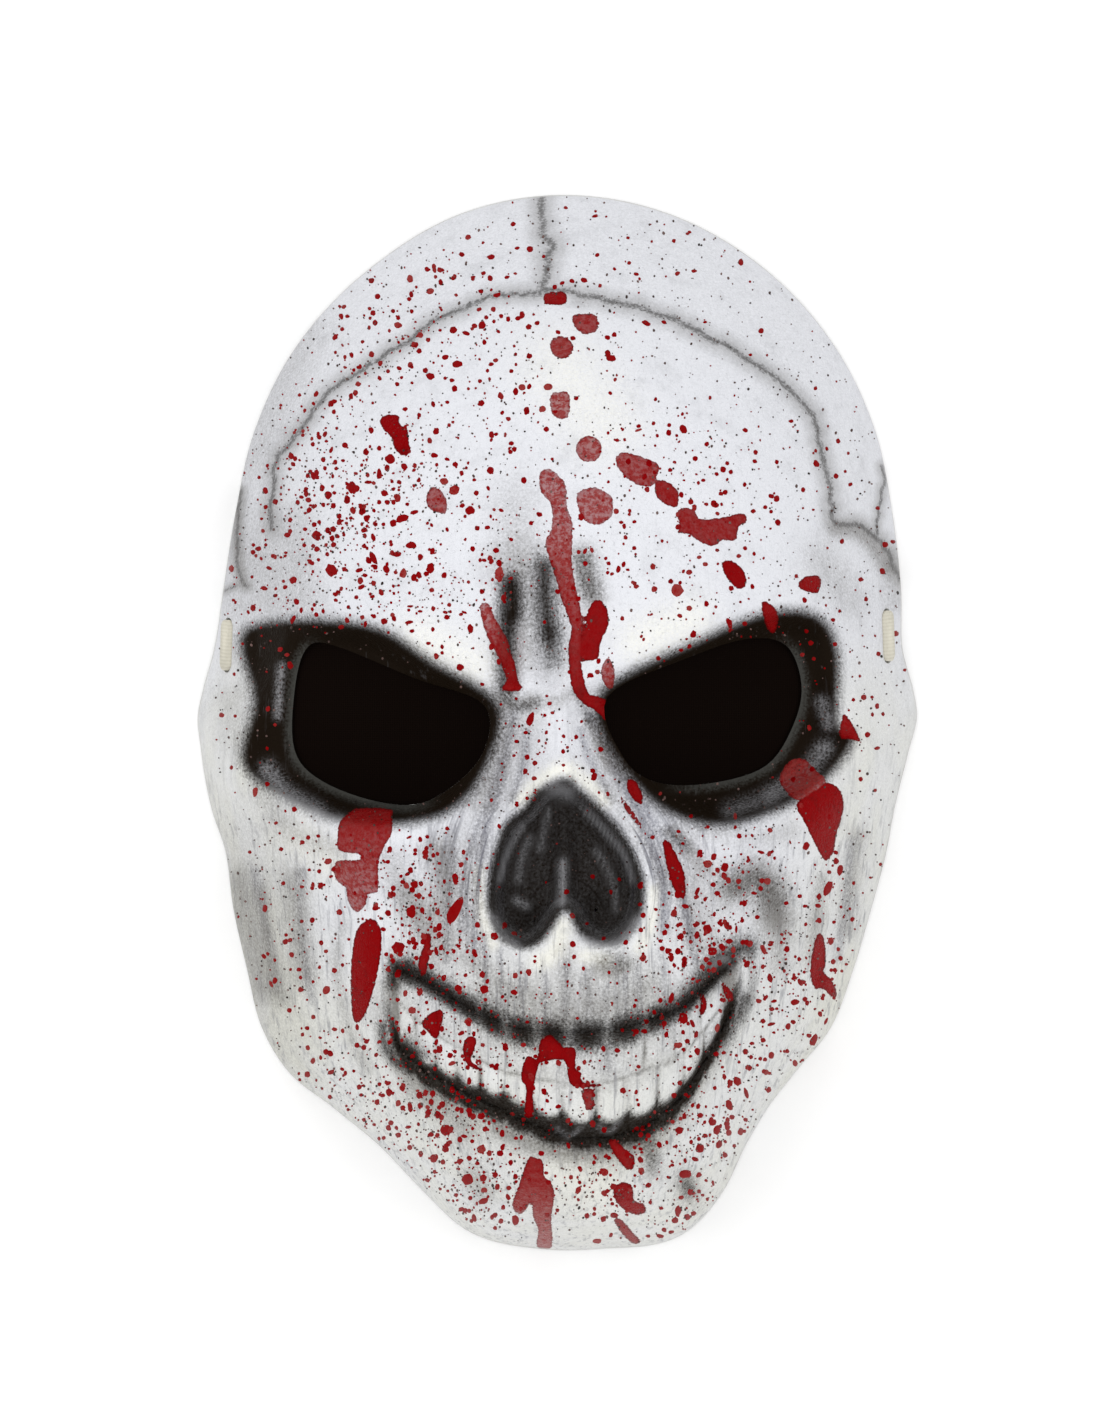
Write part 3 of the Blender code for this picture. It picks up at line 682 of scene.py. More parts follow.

# Soft grey: airbrushed in the folds, creases and hollows, and painted shade in the broad strokes at the
# temples and the crown, where the face turns away.
GREY_STROKES = (
    (0.55, 8, ((498, 696), (514, 704), (530, 702))),
    (0.4, 8, ((530, 702), (556, 700), (576, 692))),
    (0.75, 13, ((582, 558), (592, 596))),
    (0.6, 14, ((436, 850), (446, 880), (440, 908))),
    (0.5, 24, ((520, 560), (520, 650))),
    (0.6, 14, ((612, 694), (606, 740), (622, 770))),
    (0.45, 16, ((500, 710), (496, 750), (480, 800))),
    (0.35, 30, ((470, 850), (462, 930))),
    (0.3, 30, ((500, 985), (560, 1000), (640, 985))),
    (0.3, 26, ((520, 730), (500, 790))),
    (0.3, 30, ((300, 330), (250, 460))),
    (0.3, 26, ((240, 520), (236, 600))),
    (0.4, 22, ((690, 880), (700, 940))),
    (0.35, 26, ((290, 530), (300, 600))),
    (0.3, 20, ((820, 560), (850, 600))),
    (0.5, 6, ((590, 722), (598, 745), (606, 765))),
    (0.35, 14, ((390, 862), (400, 890), (412, 905), (420, 925))),
    (0.5, 16, ((408, 895), (424, 925), (440, 950))),
    (0.35, 7, ((343, 924), (336, 962), (342, 1000), (350, 1030), (366, 1070))),
    (0.6, 16, ((240, 880), (250, 930), (264, 990))),
    (0.55, 14, ((292, 880), (296, 920), (304, 975))),
    (0.5, 8, ((262, 890), (268, 940), (282, 1000))),
    (0.85, 19, ((734, 888), (756, 878), (772, 892), (776, 918))),
    (0.45, 14, ((764, 905), (778, 930), (780, 965))),
    (0.5, 9, ((674, 832), (690, 850), (702, 868))),
    (0.5, 8, ((822, 880), (816, 920), (812, 960))),
    (0.45, 10, ((858, 836), (852, 880), (846, 930))),
    (0.6, 10, ((646, 1128), (650, 1150), (652, 1170))),
    (0.5, 14, ((474, 1176), (482, 1192))),
    (0.4, 14, ((684, 1178), (690, 1196))),
    (0.7, 9, ((600, 966), (612, 972), (624, 964))),
    (0.35, 8, ((588, 980), (586, 1000))),
    (0.35, 12, ((566, 950), (566, 1020))),
    (0.6, 9, ((498, 1130), (530, 1144), (570, 1154), (610, 1150), (640, 1140))),
    (0.5, 14, ((414, 1086), (440, 1108), (464, 1130))),
    (0.55, 10, ((836, 528), (856, 532), (872, 545), (888, 568))),
    (0.4, 6, ((238, 490), (237, 540), (244, 585))),
    (0.35, 14, ((252, 640), (254, 690))),
    (0.3, 18, ((232, 700), (238, 740))),
    (0.25, 26, ((516, 500), (512, 560))),
    (0.3, 12, ((606, 790), (640, 836), (662, 880))),
    (0.4, 12, ((470, 960), (500, 985), (540, 1000))),
    (0.35, 12, ((650, 985), (620, 1000), (590, 1008))),
    (0.35, 12, ((262, 790), (290, 830), (340, 850))),
    (0.3, 12, ((790, 830), (760, 838), (700, 830))),
    (0.3, 16, ((385, 985), (380, 1010))),
    (0.25, 22, ((560, 600), (560, 660))),
    (0.3, 14, ((896, 600), (894, 560))),
    (0.25, 18, ((262, 560), (270, 600))),
)

COOL_STROKES = (
    (0.6, 5, ((514, 712), (508, 745), (498, 790), (486, 830), (478, 870), (474, 910), (474, 950))),
    (0.5, 4, ((500, 760), (488, 800), (474, 835), (464, 880), (462, 930))),
    (0.5, 4, ((455, 850), (448, 900), (446, 960))),
    (0.7, 6, ((592, 716), (604, 748), (622, 782), (640, 815), (652, 850), (662, 880), (664, 930))),
    (0.55, 5, ((606, 735), (624, 770), (645, 805), (668, 850), (684, 900), (690, 940))),
    (0.5, 4, ((676, 880), (690, 930), (694, 960))),
    (0.45, 4, ((566, 962), (565, 1018))),
    (0.35, 4, ((588, 970), (590, 1015))),
    (0.35, 4, ((606, 985), (606, 1030))),
    (0.4, 4, ((638, 965), (638, 1016))),
    (0.35, 4, ((520, 965), (520, 1015))),
    (0.3, 5, ((660, 950), (664, 990))),
    (0.5, 3, ((545, 975), (545, 1022))),
    (0.5, 3, ((500, 950), (502, 1005))),
    (0.5, 3, ((625, 975), (626, 1020))),
    (0.5, 4, ((484, 935), (486, 990))),
    (0.55, 4, ((526, 730), (524, 760), (512, 800))),
    (0.5, 4, ((580, 730), (590, 760), (612, 800))),
    (0.4, 5, ((300, 870), (302, 940), (312, 1000))),
    (0.4, 5, ((256, 870), (266, 930), (276, 990))),
    (0.4, 5, ((852, 840), (846, 900), (838, 960))),
    (0.3, 6, ((570, 1040), (570, 1076))),
    (0.3, 6, ((608, 1044), (608, 1070))),
)

RUBBED = (
    (0.55, 4, ((281, 666), (279, 690), (278, 716))),
    (0.6, 8, ((268, 770), (286, 792), (316, 810))),
    (0.4, 6, ((316, 812), (340, 820))),
    (0.55, 6, ((822, 702), (828, 724))),
    (0.55, 8, ((824, 748), (806, 772), (772, 794))),
    (0.35, 8, ((765, 798), (730, 810))),
    (0.6, 2.5, ((523, 826), (513, 842), (505, 859), (500, 880))),
    (0.35, 4, ((530, 838), (522, 856), (518, 880))),
    (0.65, 2.5, ((586, 812), (604, 830), (623, 853), (632, 880))),
    (0.9, 4, ((562, 862), (562, 886), (561, 902))),
    (0.6, 4, ((516, 900), (526, 906))),
    (0.6, 3, ((494, 916), (504, 934), (518, 944))),
    (0.7, 4, ((584, 940), (606, 944), (624, 936), (636, 918))),
    (0.6, 8, ((552, 786), (566, 792))),
    (0.35, 3, ((548, 810), (540, 850))),
    (0.35, 3, ((596, 850), (612, 880), (616, 910))),
    (0.5, 2, ((556, 1128), (569, 1136), (580, 1128))),
    (0.5, 2, ((598, 1126), (609, 1132), (618, 1122))),
    (0.4, 3, ((712, 966), (724, 958), (732, 968))),
)

# Painted highlights, in a creamy white: on the rim of the nose, above the eyes, on a cheekbone, the chin
# and the middle of the forehead.
HIGHLIGHT_STROKES = (
    (0.8, 8, ((520, 800), (540, 780), (562, 768), (582, 778), (604, 800))),
    (0.8, 6, ((478, 870), (480, 910), (492, 945))),
    (0.8, 7, ((654, 890), (652, 920), (640, 948))),
    (0.9, 10, ((562, 926), (556, 950), (540, 962))),
    (0.7, 8, ((584, 956), (606, 960))),
    (0.5, 26, ((420, 640), (470, 665))),
    (0.5, 24, ((640, 640), (690, 620))),
    (0.5, 22, ((300, 840), (330, 860))),
    (0.5, 24, ((560, 1170), (600, 1190))),
    (0.4, 40, ((560, 370), (600, 420))),
)

# The large splashes of stage blood: how thin and see-through the paint is at the upper end and at the
# lower end, and the outline.
SPLASHES = (
    (0.3, 0.9, (
        (351, 811), (361, 808), (390, 809), (392, 816), (391, 833), (381, 853), (378, 865), (378, 891),
        (368, 894), (366, 904), (359, 911), (354, 911), (348, 901), (345, 887), (335, 879), (336, 861),
        (357, 860), (359, 854), (338, 850), (338, 831), (340, 821))),
    (1.0, 0.2, (
        (480, 604), (488, 604), (497, 622), (507, 639), (510, 651), (514, 661), (518, 681), (523, 690),
        (501, 690), (506, 681), (500, 661), (490, 642), (483, 625))),
    (1.0, 0.1, (
        (539, 473), (545, 469), (552, 470), (561, 478), (566, 487), (566, 503), (568, 511), (572, 522),
        (572, 547), (572, 565), (576, 590), (581, 612), (582, 627), (581, 659), (585, 684), (590, 694),
        (605, 699), (610, 714), (612, 727), (597, 712), (582, 702), (572, 689), (569, 669), (568, 647),
        (571, 627), (562, 602), (555, 577), (548, 555), (545, 541), (551, 530), (552, 511), (549, 501),
        (541, 492))),
    (0.1, 0.1, (
        (594, 600), (601, 600), (607, 610), (608, 625), (601, 640), (598, 657), (593, 660), (582, 659),
        (577, 647), (579, 634), (585, 627), (586, 615))),
    (0.8, 0.8, (
        (601, 667), (608, 657), (614, 669), (614, 682), (612, 689), (607, 687), (602, 679))),
    (0.2, 0.2, (
        (840, 725), (845, 714), (855, 729), (861, 743), (851, 739), (840, 738))),
    (0.05, 0.05, (
        (796, 804), (814, 789), (826, 782), (841, 791), (843, 811), (836, 836), (833, 853), (825, 861),
        (816, 846), (804, 821))),
    (1.0, 1.0, (
        (779, 779), (789, 761), (804, 759), (816, 771), (826, 781), (809, 796), (796, 800), (786, 791))),
    (0.1, 0.1, (
        (628, 778), (636, 782), (642, 794), (642, 805), (633, 799), (627, 789))),
    (0.3, 0.3, (
        (619, 794), (626, 802), (638, 819), (642, 830), (630, 816), (622, 804))),
    (0.05, 0.05, (
        (662, 841), (669, 842), (677, 856), (684, 873), (685, 896), (679, 897), (669, 876))),
    (0.05, 0.05, (
        (815, 939), (819, 933), (824, 939), (826, 962), (823, 971), (832, 980), (837, 994), (833, 998),
        (823, 989), (814, 988), (810, 972), (812, 954))),
    (0.05, 0.05, (
        (356, 931), (366, 920), (372, 919), (380, 926), (381, 949), (377, 975), (367, 1010),
        (358, 1023), (353, 1018), (351, 998), (351, 962))),
    (0.15, 0.15, (
        (426, 933), (431, 934), (430, 949), (426, 972), (421, 976), (418, 962), (423, 947))),
    (0.05, 0.05, (
        (421, 1022), (435, 1010), (443, 1011), (441, 1026), (436, 1039), (427, 1031))),
    (0.1, 0.1, (
        (464, 1040), (471, 1036), (476, 1040), (474, 1050), (471, 1061), (483, 1069), (481, 1071),
        (468, 1066), (463, 1054))),
    (0.05, 0.05, (
        (537, 1059), (539, 1042), (550, 1034), (562, 1046), (575, 1048), (575, 1068), (581, 1072),
        (581, 1080), (587, 1083), (601, 1084), (600, 1087), (579, 1087), (569, 1082), (564, 1060),
        (541, 1062), (537, 1069), (535, 1079), (533, 1089), (533, 1104), (534, 1115), (524, 1116),
        (526, 1089), (521, 1079), (523, 1062), (529, 1055))),
    (0.4, 0.4, (
        (581, 1089), (594, 1091), (593, 1099), (595, 1105), (588, 1111), (584, 1103))),
    (0.15, 0.15, (
        (698, 994), (704, 995), (707, 1005), (703, 1014), (698, 1013), (701, 1003))),
    (0.1, 0.1, (
        (720, 981), (726, 985), (733, 995), (731, 1002), (726, 998))),
    (0.3, 0.9, (
        (528, 1158), (534, 1157), (543, 1161), (544, 1176), (552, 1184), (554, 1199), (551, 1217),
        (552, 1247), (537, 1247), (538, 1230), (533, 1217), (531, 1202), (524, 1212), (517, 1213),
        (512, 1204), (517, 1189), (522, 1174))),
    (0.05, 0.05, (
        (613, 1188), (623, 1182), (632, 1186), (634, 1200), (644, 1204), (645, 1213), (632, 1214),
        (617, 1203))),
    (0.2, 0.2, (
        (608, 1141), (614, 1139), (624, 1148), (634, 1156), (633, 1167), (628, 1170), (616, 1157))),
    (0.3, 0.3, (
        (613, 1218), (622, 1220), (634, 1234), (641, 1241), (634, 1244), (622, 1234))),
    (0.0, 0.0, (
        (379, 419), (386, 415), (398, 415), (400, 425), (407, 428), (409, 443), (411, 450), (405, 456),
        (395, 449), (391, 437), (384, 430))),
    (0.35, 0.35, (
        (678, 509), (693, 509), (699, 518), (709, 519), (729, 516), (739, 513), (746, 516), (746, 522),
        (738, 527), (736, 540), (723, 540), (712, 546), (699, 541), (689, 534), (676, 532), (679, 527))),
    (0.6, 0.6, (
        (615, 459), (622, 452), (640, 456), (658, 464), (657, 475), (652, 486), (634, 483), (620, 471))),
    (0.3, 0.3, (
        (654, 485), (659, 480), (668, 482), (678, 492), (677, 506), (669, 506), (657, 497))),
    (0.1, 0.1, (
        (761, 603), (765, 601), (774, 607), (778, 617), (775, 632), (769, 631), (764, 620))),
    (0.05, 0.05, (
        (722, 561), (729, 560), (739, 565), (745, 574), (745, 587), (736, 588), (729, 580), (723, 571))),
    (0.05, 0.05, (
        (799, 581), (807, 576), (820, 577), (819, 591), (812, 593), (799, 588))),
    (0.9, 0.9, (
        (577, 493), (594, 487), (610, 495), (613, 506), (610, 518), (596, 525), (584, 520), (578, 508))),
    (0.9, 0.9, (
        (550, 395), (559, 392), (568, 392), (570, 404), (568, 416), (561, 419), (552, 414))),
    (0.85, 0.85, (
        (576, 446), (582, 437), (592, 436), (600, 442), (601, 453), (595, 461), (583, 461), (577, 454))),
    (0.5, 0.5, (
        (572, 318), (576, 314), (594, 314), (598, 323), (596, 331), (586, 334), (576, 329))),
    (0.5, 0.5, (
        (550, 345), (553, 338), (563, 336), (571, 341), (573, 350), (566, 358), (556, 357), (551, 351))),
    (0.1, 0.1, (
        (544, 294), (550, 292), (565, 292), (566, 303), (556, 305), (544, 303))),
    (0.7, 0.7, (
        (426, 500), (429, 489), (436, 487), (444, 495), (447, 505), (445, 514), (437, 512), (429, 508))),
)


OUTSIDE_SPLASHES = -6.0
PAINT_STEPS = 3


def stroke(x, y, rows):
    """How much of a set of brush strokes lies on each place, from 0 to 1."""
    left = np.ones(x.shape)
    for strength, wide, points in rows:
        far = distance_to_line(x, y, curve_through(seen(points), PAINT_STEPS, False)) / (wide * PIXEL)
        left = left * (1 - strength * np.exp(-(far**2)))
    return 1 - left


def splash_depth(x, y):
    """The distance into the nearest splash in millimetres, and how thin its paint is."""
    into = np.full(x.shape, OUTSIDE_SPLASHES)
    thin = np.zeros(x.shape)
    for upper, lower, points in SPLASHES:
        outline = curve_through(seen(points), PAINT_STEPS, True)
        here = depth_inside(x, y, outline)
        fall = ease((outline[:, 1].max() - y) / np.ptp(outline[:, 1]))
        thin = np.where(here > into, upper + (lower - upper) * fall, thin)
        into = np.maximum(into, here)
    return into, thin


# The paint of the mouth, in millimetres: the arches over the upper teeth, the dark band under the
# lower ones with a notch at each gap, and the soft grey beside both. All are wider at the front.
MOUTH_FRONT = (3.0, 22.0)
MOUTH_FADE = 4.0
ARCH_HALF = (2.9, 1.9)
ARCH_SINK = 1.6
ARCH_GAP = 0.7
BAND_TOP = (2.6, 2.0)
BAND_NOTCH = (2.2, 2.0)
BAND_FOOT = (-3.4, 1.2, -1.2)
BAND_SOFT = ((0.9, 2.2), (1.4, 2.8))
BITE_HALF = 0.7
TOOTH_SHADE = (0.9, 0.6, 0.25)
TOOTH_SHADE_TALL = 12.0
HAZE_UNDER = (3.0, 5.0, 1.0)
HAZE_OVER = (-3.0, 3.6, 0.8)
HAZE_GREY = 0.55
GUM_BLACK = 0.97
TEETH_SOFT = 1.5
MOUTH_GREY_MOST = 0.9


def mouth_paint(x, y):
    """The black gums, with an arch over each upper front tooth and a notch under each lower one, and
    the grey lines between the teeth."""
    across, upper, bite, lower = zip(*MOUTH_ROWS)
    top, middle, bottom = (follow(across, row, x) for row in (upper, bite, lower))
    above, below = tooth_row(x, UPPER_GAPS), tooth_row(x, LOWER_GAPS)
    ends = ease((x - across[0]) / MOUTH_FADE) * ease((across[-1] - x) / MOUTH_FADE)
    front = np.exp(-(((x - MOUTH_FRONT[0]) / MOUTH_FRONT[1]) ** 4))
    half = ARCH_HALF[0] + ARCH_HALF[1] * above * (0.5 + 0.5 * front)
    arch = np.exp(-(((y - top + ARCH_SINK * front) / half) ** 4))
    arch = arch * (1 - ARCH_GAP * front * (1 - above) ** 1.5)
    high = bottom + BAND_TOP[0] + BAND_TOP[1] * front
    high = high + (BAND_NOTCH[0] + BAND_NOTCH[1] * front) * (1 - below)
    low = bottom + BAND_FOOT[0] + BAND_FOOT[1] * front + BAND_FOOT[2] * below
    (rise, over), (sink, under) = BAND_SOFT
    gum = ease((high - y + rise) / over) * ease((y - low + sink) / under)
    teeth = ease((top - y) / TEETH_SOFT) * ease((y - bottom) / TEETH_SOFT)
    lines = np.where(y > middle, (1 - above) ** 2, (1 - below) ** 2)
    bite_line = np.exp(-(((y - middle) / BITE_HALF) ** 2))
    haze = 0.0
    for edge, (sink, half, strength) in ((bottom, HAZE_UNDER), (top, HAZE_OVER)):
        haze = haze + strength * np.exp(-(((y - edge + sink) / half) ** 2))
    at_gaps, at_bite, at_tips = TOOTH_SHADE
    shade = np.maximum(at_gaps * lines, at_bite * bite_line) * teeth
    tip = teeth * (1 - tooth_length((y - bottom) / TOOTH_SHADE_TALL))
    shade = np.maximum(shade, at_tips * tip)
    black = ends * np.maximum(arch, gum) * GUM_BLACK
    grey = ends * np.clip(shade + HAZE_GREY * haze, 0, MOUTH_GREY_MOST)
    return black, grey


# Where the large areas of paint begin and over what length they fade in, in millimetres: the black of
# the sockets and of the nose, which begins outside their edges, painted shade that darkens the sides
# towards the rim, the grey of the left jaw, the yellowing low down and at the sides, and the bare inside.
SOCKET_BLACK = (3.4, 4.6)
NOSE_BLACK = (1.8, 2.8)
NOSE_BLACK_MOST = 0.97
NOSE_RING = (0.1, 3.0, 0.9)
# How strong the painted shade at the sides is, and where towards the rim it comes in.
SIDE_SHADE = 0.10
SIDE_SHARE = (0.62, 0.30)
JAW_GREY = 0.22
JAW_LEFT = (50.0, 30.0)
JAW_BELOW = (10.0, 30.0)
YELLOWING = 0.8
YELLOW_BELOW = (30.0, 70.0)
YELLOW_BESIDE = (50.0, 30.0)
YELLOW_UNDER = (-30.0, 40.0)
INSIDE_DEPTH = (0.6, 1.0)
INSIDE_RIM_SHARE = 0.995
INSIDE_RIM = (-0.6, 0.5)


def write_layer(mesh, name, values):
    """Stores one number for each vertex under a name, for the materials to read."""
    made = mesh.attributes.new(name, "FLOAT", "POINT")
    made.data.foreach_set("value", np.asarray(values, np.float32))


def fade_in(distance, area):
    """How far into an area a distance is: 0 where the area begins, and 1 past its fade."""
    begins, run = area
    return ease((distance - begins) / run)


def plan_paint(body):
    """Writes the paint plan onto the shell's vertices, one named layer for each effect."""
    mesh = body.data
    places = np.zeros(len(mesh.vertices) * 3)
    mesh.vertices.foreach_get("co", places)
    places = places.reshape(-1, 3) / MM
    z = places[:, 2]
    near = 1 - z / SIGHT_DISTANCE
    x, y = places[:, 0] / near, places[:, 1] / near
    surface = face_height(x, y, True)
    _, share = plain_form(x, y)

    gums, tooth_lines = mouth_paint(x, y)
    black = np.maximum(stroke(x, y, BLACK_STROKES), gums)
    lip = np.zeros(x.shape)
    for eye in EYES.values():
        into = depth_inside(x, y, curve_through(eye["socket"], SOCKET_STEPS, True))
        black = np.maximum(black, ease((into + SOCKET_BLACK[0]) / SOCKET_BLACK[1]))
        lip = np.maximum(lip, lip_share(eye, x, y))
    nose = depth_inside(x, y, NOSE_EDGE)
    lighter, ring_into, ring_half = NOSE_RING
    hollow = NOSE_BLACK_MOST * ease((nose + NOSE_BLACK[0]) / NOSE_BLACK[1])
    hollow = hollow * (1 - lighter * np.exp(-(((nose - ring_into) / ring_half) ** 2)))
    black = np.maximum(black, hollow)
    # Painted shade: the sides darken towards the rim.
    sides = SIDE_SHADE * fade_in(share, SIDE_SHARE)
    sides = sides + JAW_GREY * fade_in(-x, JAW_LEFT) * fade_in(-y, JAW_BELOW)
    grey = 1 - (1 - stroke(x, y, GREY_STROKES)) * (1 - tooth_lines) * (1 - sides)
    beside = fade_in(np.abs(x), YELLOW_BESIDE) * fade_in(-y, YELLOW_UNDER)
    yellow = YELLOWING * (fade_in(-y, YELLOW_BELOW) + beside)
    blood, thin = splash_depth(x, y)
    rim = share >= INSIDE_RIM_SHARE
    inside = np.where(rim, fade_in(-z, INSIDE_RIM), fade_in(surface - z, INSIDE_DEPTH))

    # These layers include painted shade towards the sides in the grey, painted highlights on the raised
    # places, and the lip of the eye openings, lighter partly as a painted highlight.
    layers = {
        "black_paint": black,
        "grey_paint_and_shade": grey,
        "cool_streaks": stroke(x, y, COOL_STROKES),
        "rubbed_grey": stroke(x, y, RUBBED),
        "painted_highlight": stroke(x, y, HIGHLIGHT_STROKES),
        "seam_far": seam_distance(x, y),
        "lit_cut_lip": lip,
        "blood_depth": blood,
        "blood_thin": thin,
        "inside": inside,
        "nose_far": -nose,
        "yellowing": yellow,
        "edge_share": share,
    }
    for name, values in layers.items():
        write_layer(mesh, name, values)


plan_paint(shell)

# The finish is one coat of off-white paint over the moulding, mottled and crackled like old leather,
# with the shading, the seams and the blood over it. Effects that pieces share are node groups.


def add_node(tree, kind, **settings):
    made = tree.nodes.new(kind)
    for name, value in settings.items():
        setattr(made, name, value)
    return made


def feed(tree, target, value):
    """Links a socket to an input, or sets the input to a plain value."""
    if isinstance(value, bpy.types.NodeSocket):
        tree.links.new(value, target)
    else:
        target.default_value = value


def maths(tree, operation, a, b=0.0, c=None):
    made = add_node(tree, "ShaderNodeMath", operation=operation)
    feed(tree, made.inputs[0], a)
    feed(tree, made.inputs[1], b)
    if c is not None:
        feed(tree, made.inputs[2], c)
    return made.outputs[0]


def smooth_step(tree, value, low, high, to_low=0.0, to_high=1.0):
    """A smooth step of the value between two limits."""
    made = add_node(tree, "ShaderNodeMapRange", interpolation_type="SMOOTHSTEP")
    for number, item in enumerate((value, low, high, to_low, to_high)):
        feed(tree, made.inputs[number], item)
    return made.outputs[0]


def mix_colour(tree, share, a, b):
    made = add_node(tree, "ShaderNodeMix", data_type="RGBA")
    feed(tree, made.inputs[0], share)
    feed(tree, made.inputs[6], (*a, 1.0) if isinstance(a, tuple) else a)
    feed(tree, made.inputs[7], (*b, 1.0) if isinstance(b, tuple) else b)
    return made.outputs[2]


def noise(tree, vector, scale, detail=2.0, rough=0.5):
    made = add_node(tree, "ShaderNodeTexNoise")
    feed(tree, made.inputs["Vector"], vector)
    made.inputs["Scale"].default_value = scale
    made.inputs["Detail"].default_value = detail
    made.inputs["Roughness"].default_value = rough
    return made.outputs["Fac"]


def stretched(tree, vector, scale):
    """The vector with each axis scaled on its own."""
    made = add_node(tree, "ShaderNodeVectorMath", operation="MULTIPLY")
    feed(tree, made.inputs[0], vector)
    made.inputs[1].default_value = scale
    return made.outputs[0]


def layer(tree, name):
    return add_node(tree, "ShaderNodeAttribute", attribute_name=name).outputs["Fac"]


def new_group(name, inputs, outputs):
    """An empty node group with named sockets."""
    group = bpy.data.node_groups.new(name, "ShaderNodeTree")
    for socket_name, kind in inputs:
        group.interface.new_socket(socket_name, in_out="INPUT", socket_type=kind)
    for socket_name, kind in outputs:
        group.interface.new_socket(socket_name, in_out="OUTPUT", socket_type=kind)
    return group, group.nodes.new("NodeGroupInput"), group.nodes.new("NodeGroupOutput")


def grain_group():
    """The grainy edge of sprayed or rubbed paint: the amount of paint, broken up where it is thin."""
    group, given, out = new_group(
        "paint grain",
        [("Vector", "NodeSocketVector"), ("Amount", "NodeSocketFloat"), ("Grain", "NodeSocketFloat")],
        [("Mask", "NodeSocketFloat")],
    )
    amount = given.outputs["Amount"]
    fine = noise(group, given.outputs["Vector"], 1.5, 3.0, 0.65)
    drawn = noise(group, stretched(group, given.outputs["Vector"], (1.3, 0.12, 0.4)), 1.0, 3.0, 0.6)
    both = maths(group, "ADD", maths(group, "MULTIPLY", fine, 1.6), maths(group, "MULTIPLY", drawn, 0.4))
    shift = maths(group, "MULTIPLY", maths(group, "SUBTRACT", both, 1.0), given.outputs["Grain"])
    thin = maths(group, "MULTIPLY", amount, maths(group, "SUBTRACT", 1.0, amount))
    swing = maths(group, "MULTIPLY", maths(group, "MULTIPLY", thin, 4.0), shift)
    mask = add_node(group, "ShaderNodeMath", operation="ADD", use_clamp=True)
    feed(group, mask.inputs[0], amount)
    feed(group, mask.inputs[1], swing)
    feed(group, out.inputs["Mask"], mask.outputs[0])
    return group


def crackle_group():
    """The low relief of an old coat of paint: creases between small uneven scales, and pores."""
    group, given, out = new_group(
        "crackle", [("Vector", "NodeSocketVector")], [("Height", "NodeSocketFloat")]
    )
    wobble = add_node(group, "ShaderNodeTexNoise")
    feed(group, wobble.inputs["Vector"], given.outputs["Vector"])
    wobble.inputs["Scale"].default_value = 0.5
    warped = add_node(group, "ShaderNodeVectorMath", operation="MULTIPLY_ADD")
    feed(group, warped.inputs[0], wobble.outputs["Color"])
    warped.inputs[1].default_value = (1.6, 1.6, 1.6)
    feed(group, warped.inputs[2], given.outputs["Vector"])
    cells = add_node(group, "ShaderNodeTexVoronoi", voronoi_dimensions="3D", feature="DISTANCE_TO_EDGE")
    feed(group, cells.inputs["Vector"], warped.outputs[0])
    cells.inputs["Scale"].default_value = 0.55
    crease = smooth_step(group, cells.outputs["Distance"], 0.0, 0.18)
    pores = noise(group, given.outputs["Vector"], 1.7, 4.0, 0.65)
    height = maths(group, "MULTIPLY_ADD", crease, 0.45, maths(group, "MULTIPLY", pores, 0.9))
    feed(group, out.inputs["Height"], height)
    return group


def use_group(tree, group, **values):
    made = add_node(tree, "ShaderNodeGroup", node_tree=group)
    for name, value in values.items():
        feed(tree, made.inputs[name], value)
    return made.outputs[0]


def new_material(name):
    """A material with a Principled shader, and the object's own coordinates in millimetres."""
    made = bpy.data.materials.new(name)
    made.use_nodes = True
    tree = made.node_tree
    place = add_node(tree, "ShaderNodeTexCoord")
    scaled = add_node(tree, "ShaderNodeVectorMath", operation="SCALE")
    feed(tree, scaled.inputs[0], place.outputs["Object"])
    scaled.inputs["Scale"].default_value = 1 / MM
    return made, tree, tree.nodes["Principled BSDF"], scaled.outputs[0]


def give_relief(tree, shader, height, strength, depth):
    """A bump of the height, with its depth in millimetres."""
    bump = add_node(tree, "ShaderNodeBump")
    bump.inputs["Strength"].default_value = strength
    bump.inputs["Distance"].default_value = depth * MM
    feed(tree, bump.inputs["Height"], height)
    feed(tree, shader.inputs["Normal"], bump.outputs[0])


GRAIN = grain_group()
CRACKLE = crackle_group()

WHITE_COOL = (0.715, 0.725, 0.765)
WHITE_WARM = (0.690, 0.690, 0.630)
# The creamy white of the painted highlights.
HIGHLIGHT_WHITE = (0.86, 0.85, 0.77)
BLACK_BROWN = (0.010, 0.0065, 0.004)
WARM_GREY = (0.105, 0.095, 0.080)
COOL_GREY = (0.110, 0.112, 0.150)
RUB_GREY = (0.42, 0.42, 0.44)
MOTTLE_GREY = (0.25, 0.255, 0.27)
SEAM_GREY = (0.060, 0.057, 0.055)
LIP_LIT_GREY = (0.055, 0.055, 0.050)
PLASTIC_INSIDE = (0.60, 0.60, 0.58)
PLASTIC_DULL = (0.50, 0.50, 0.48)
BLOOD_FULL = (0.215, 0.0010, 0.0020)
BLOOD_DARK = (0.110, 0.0005, 0.0010)
BLOOD_THIN = (0.255, 0.034, 0.031)


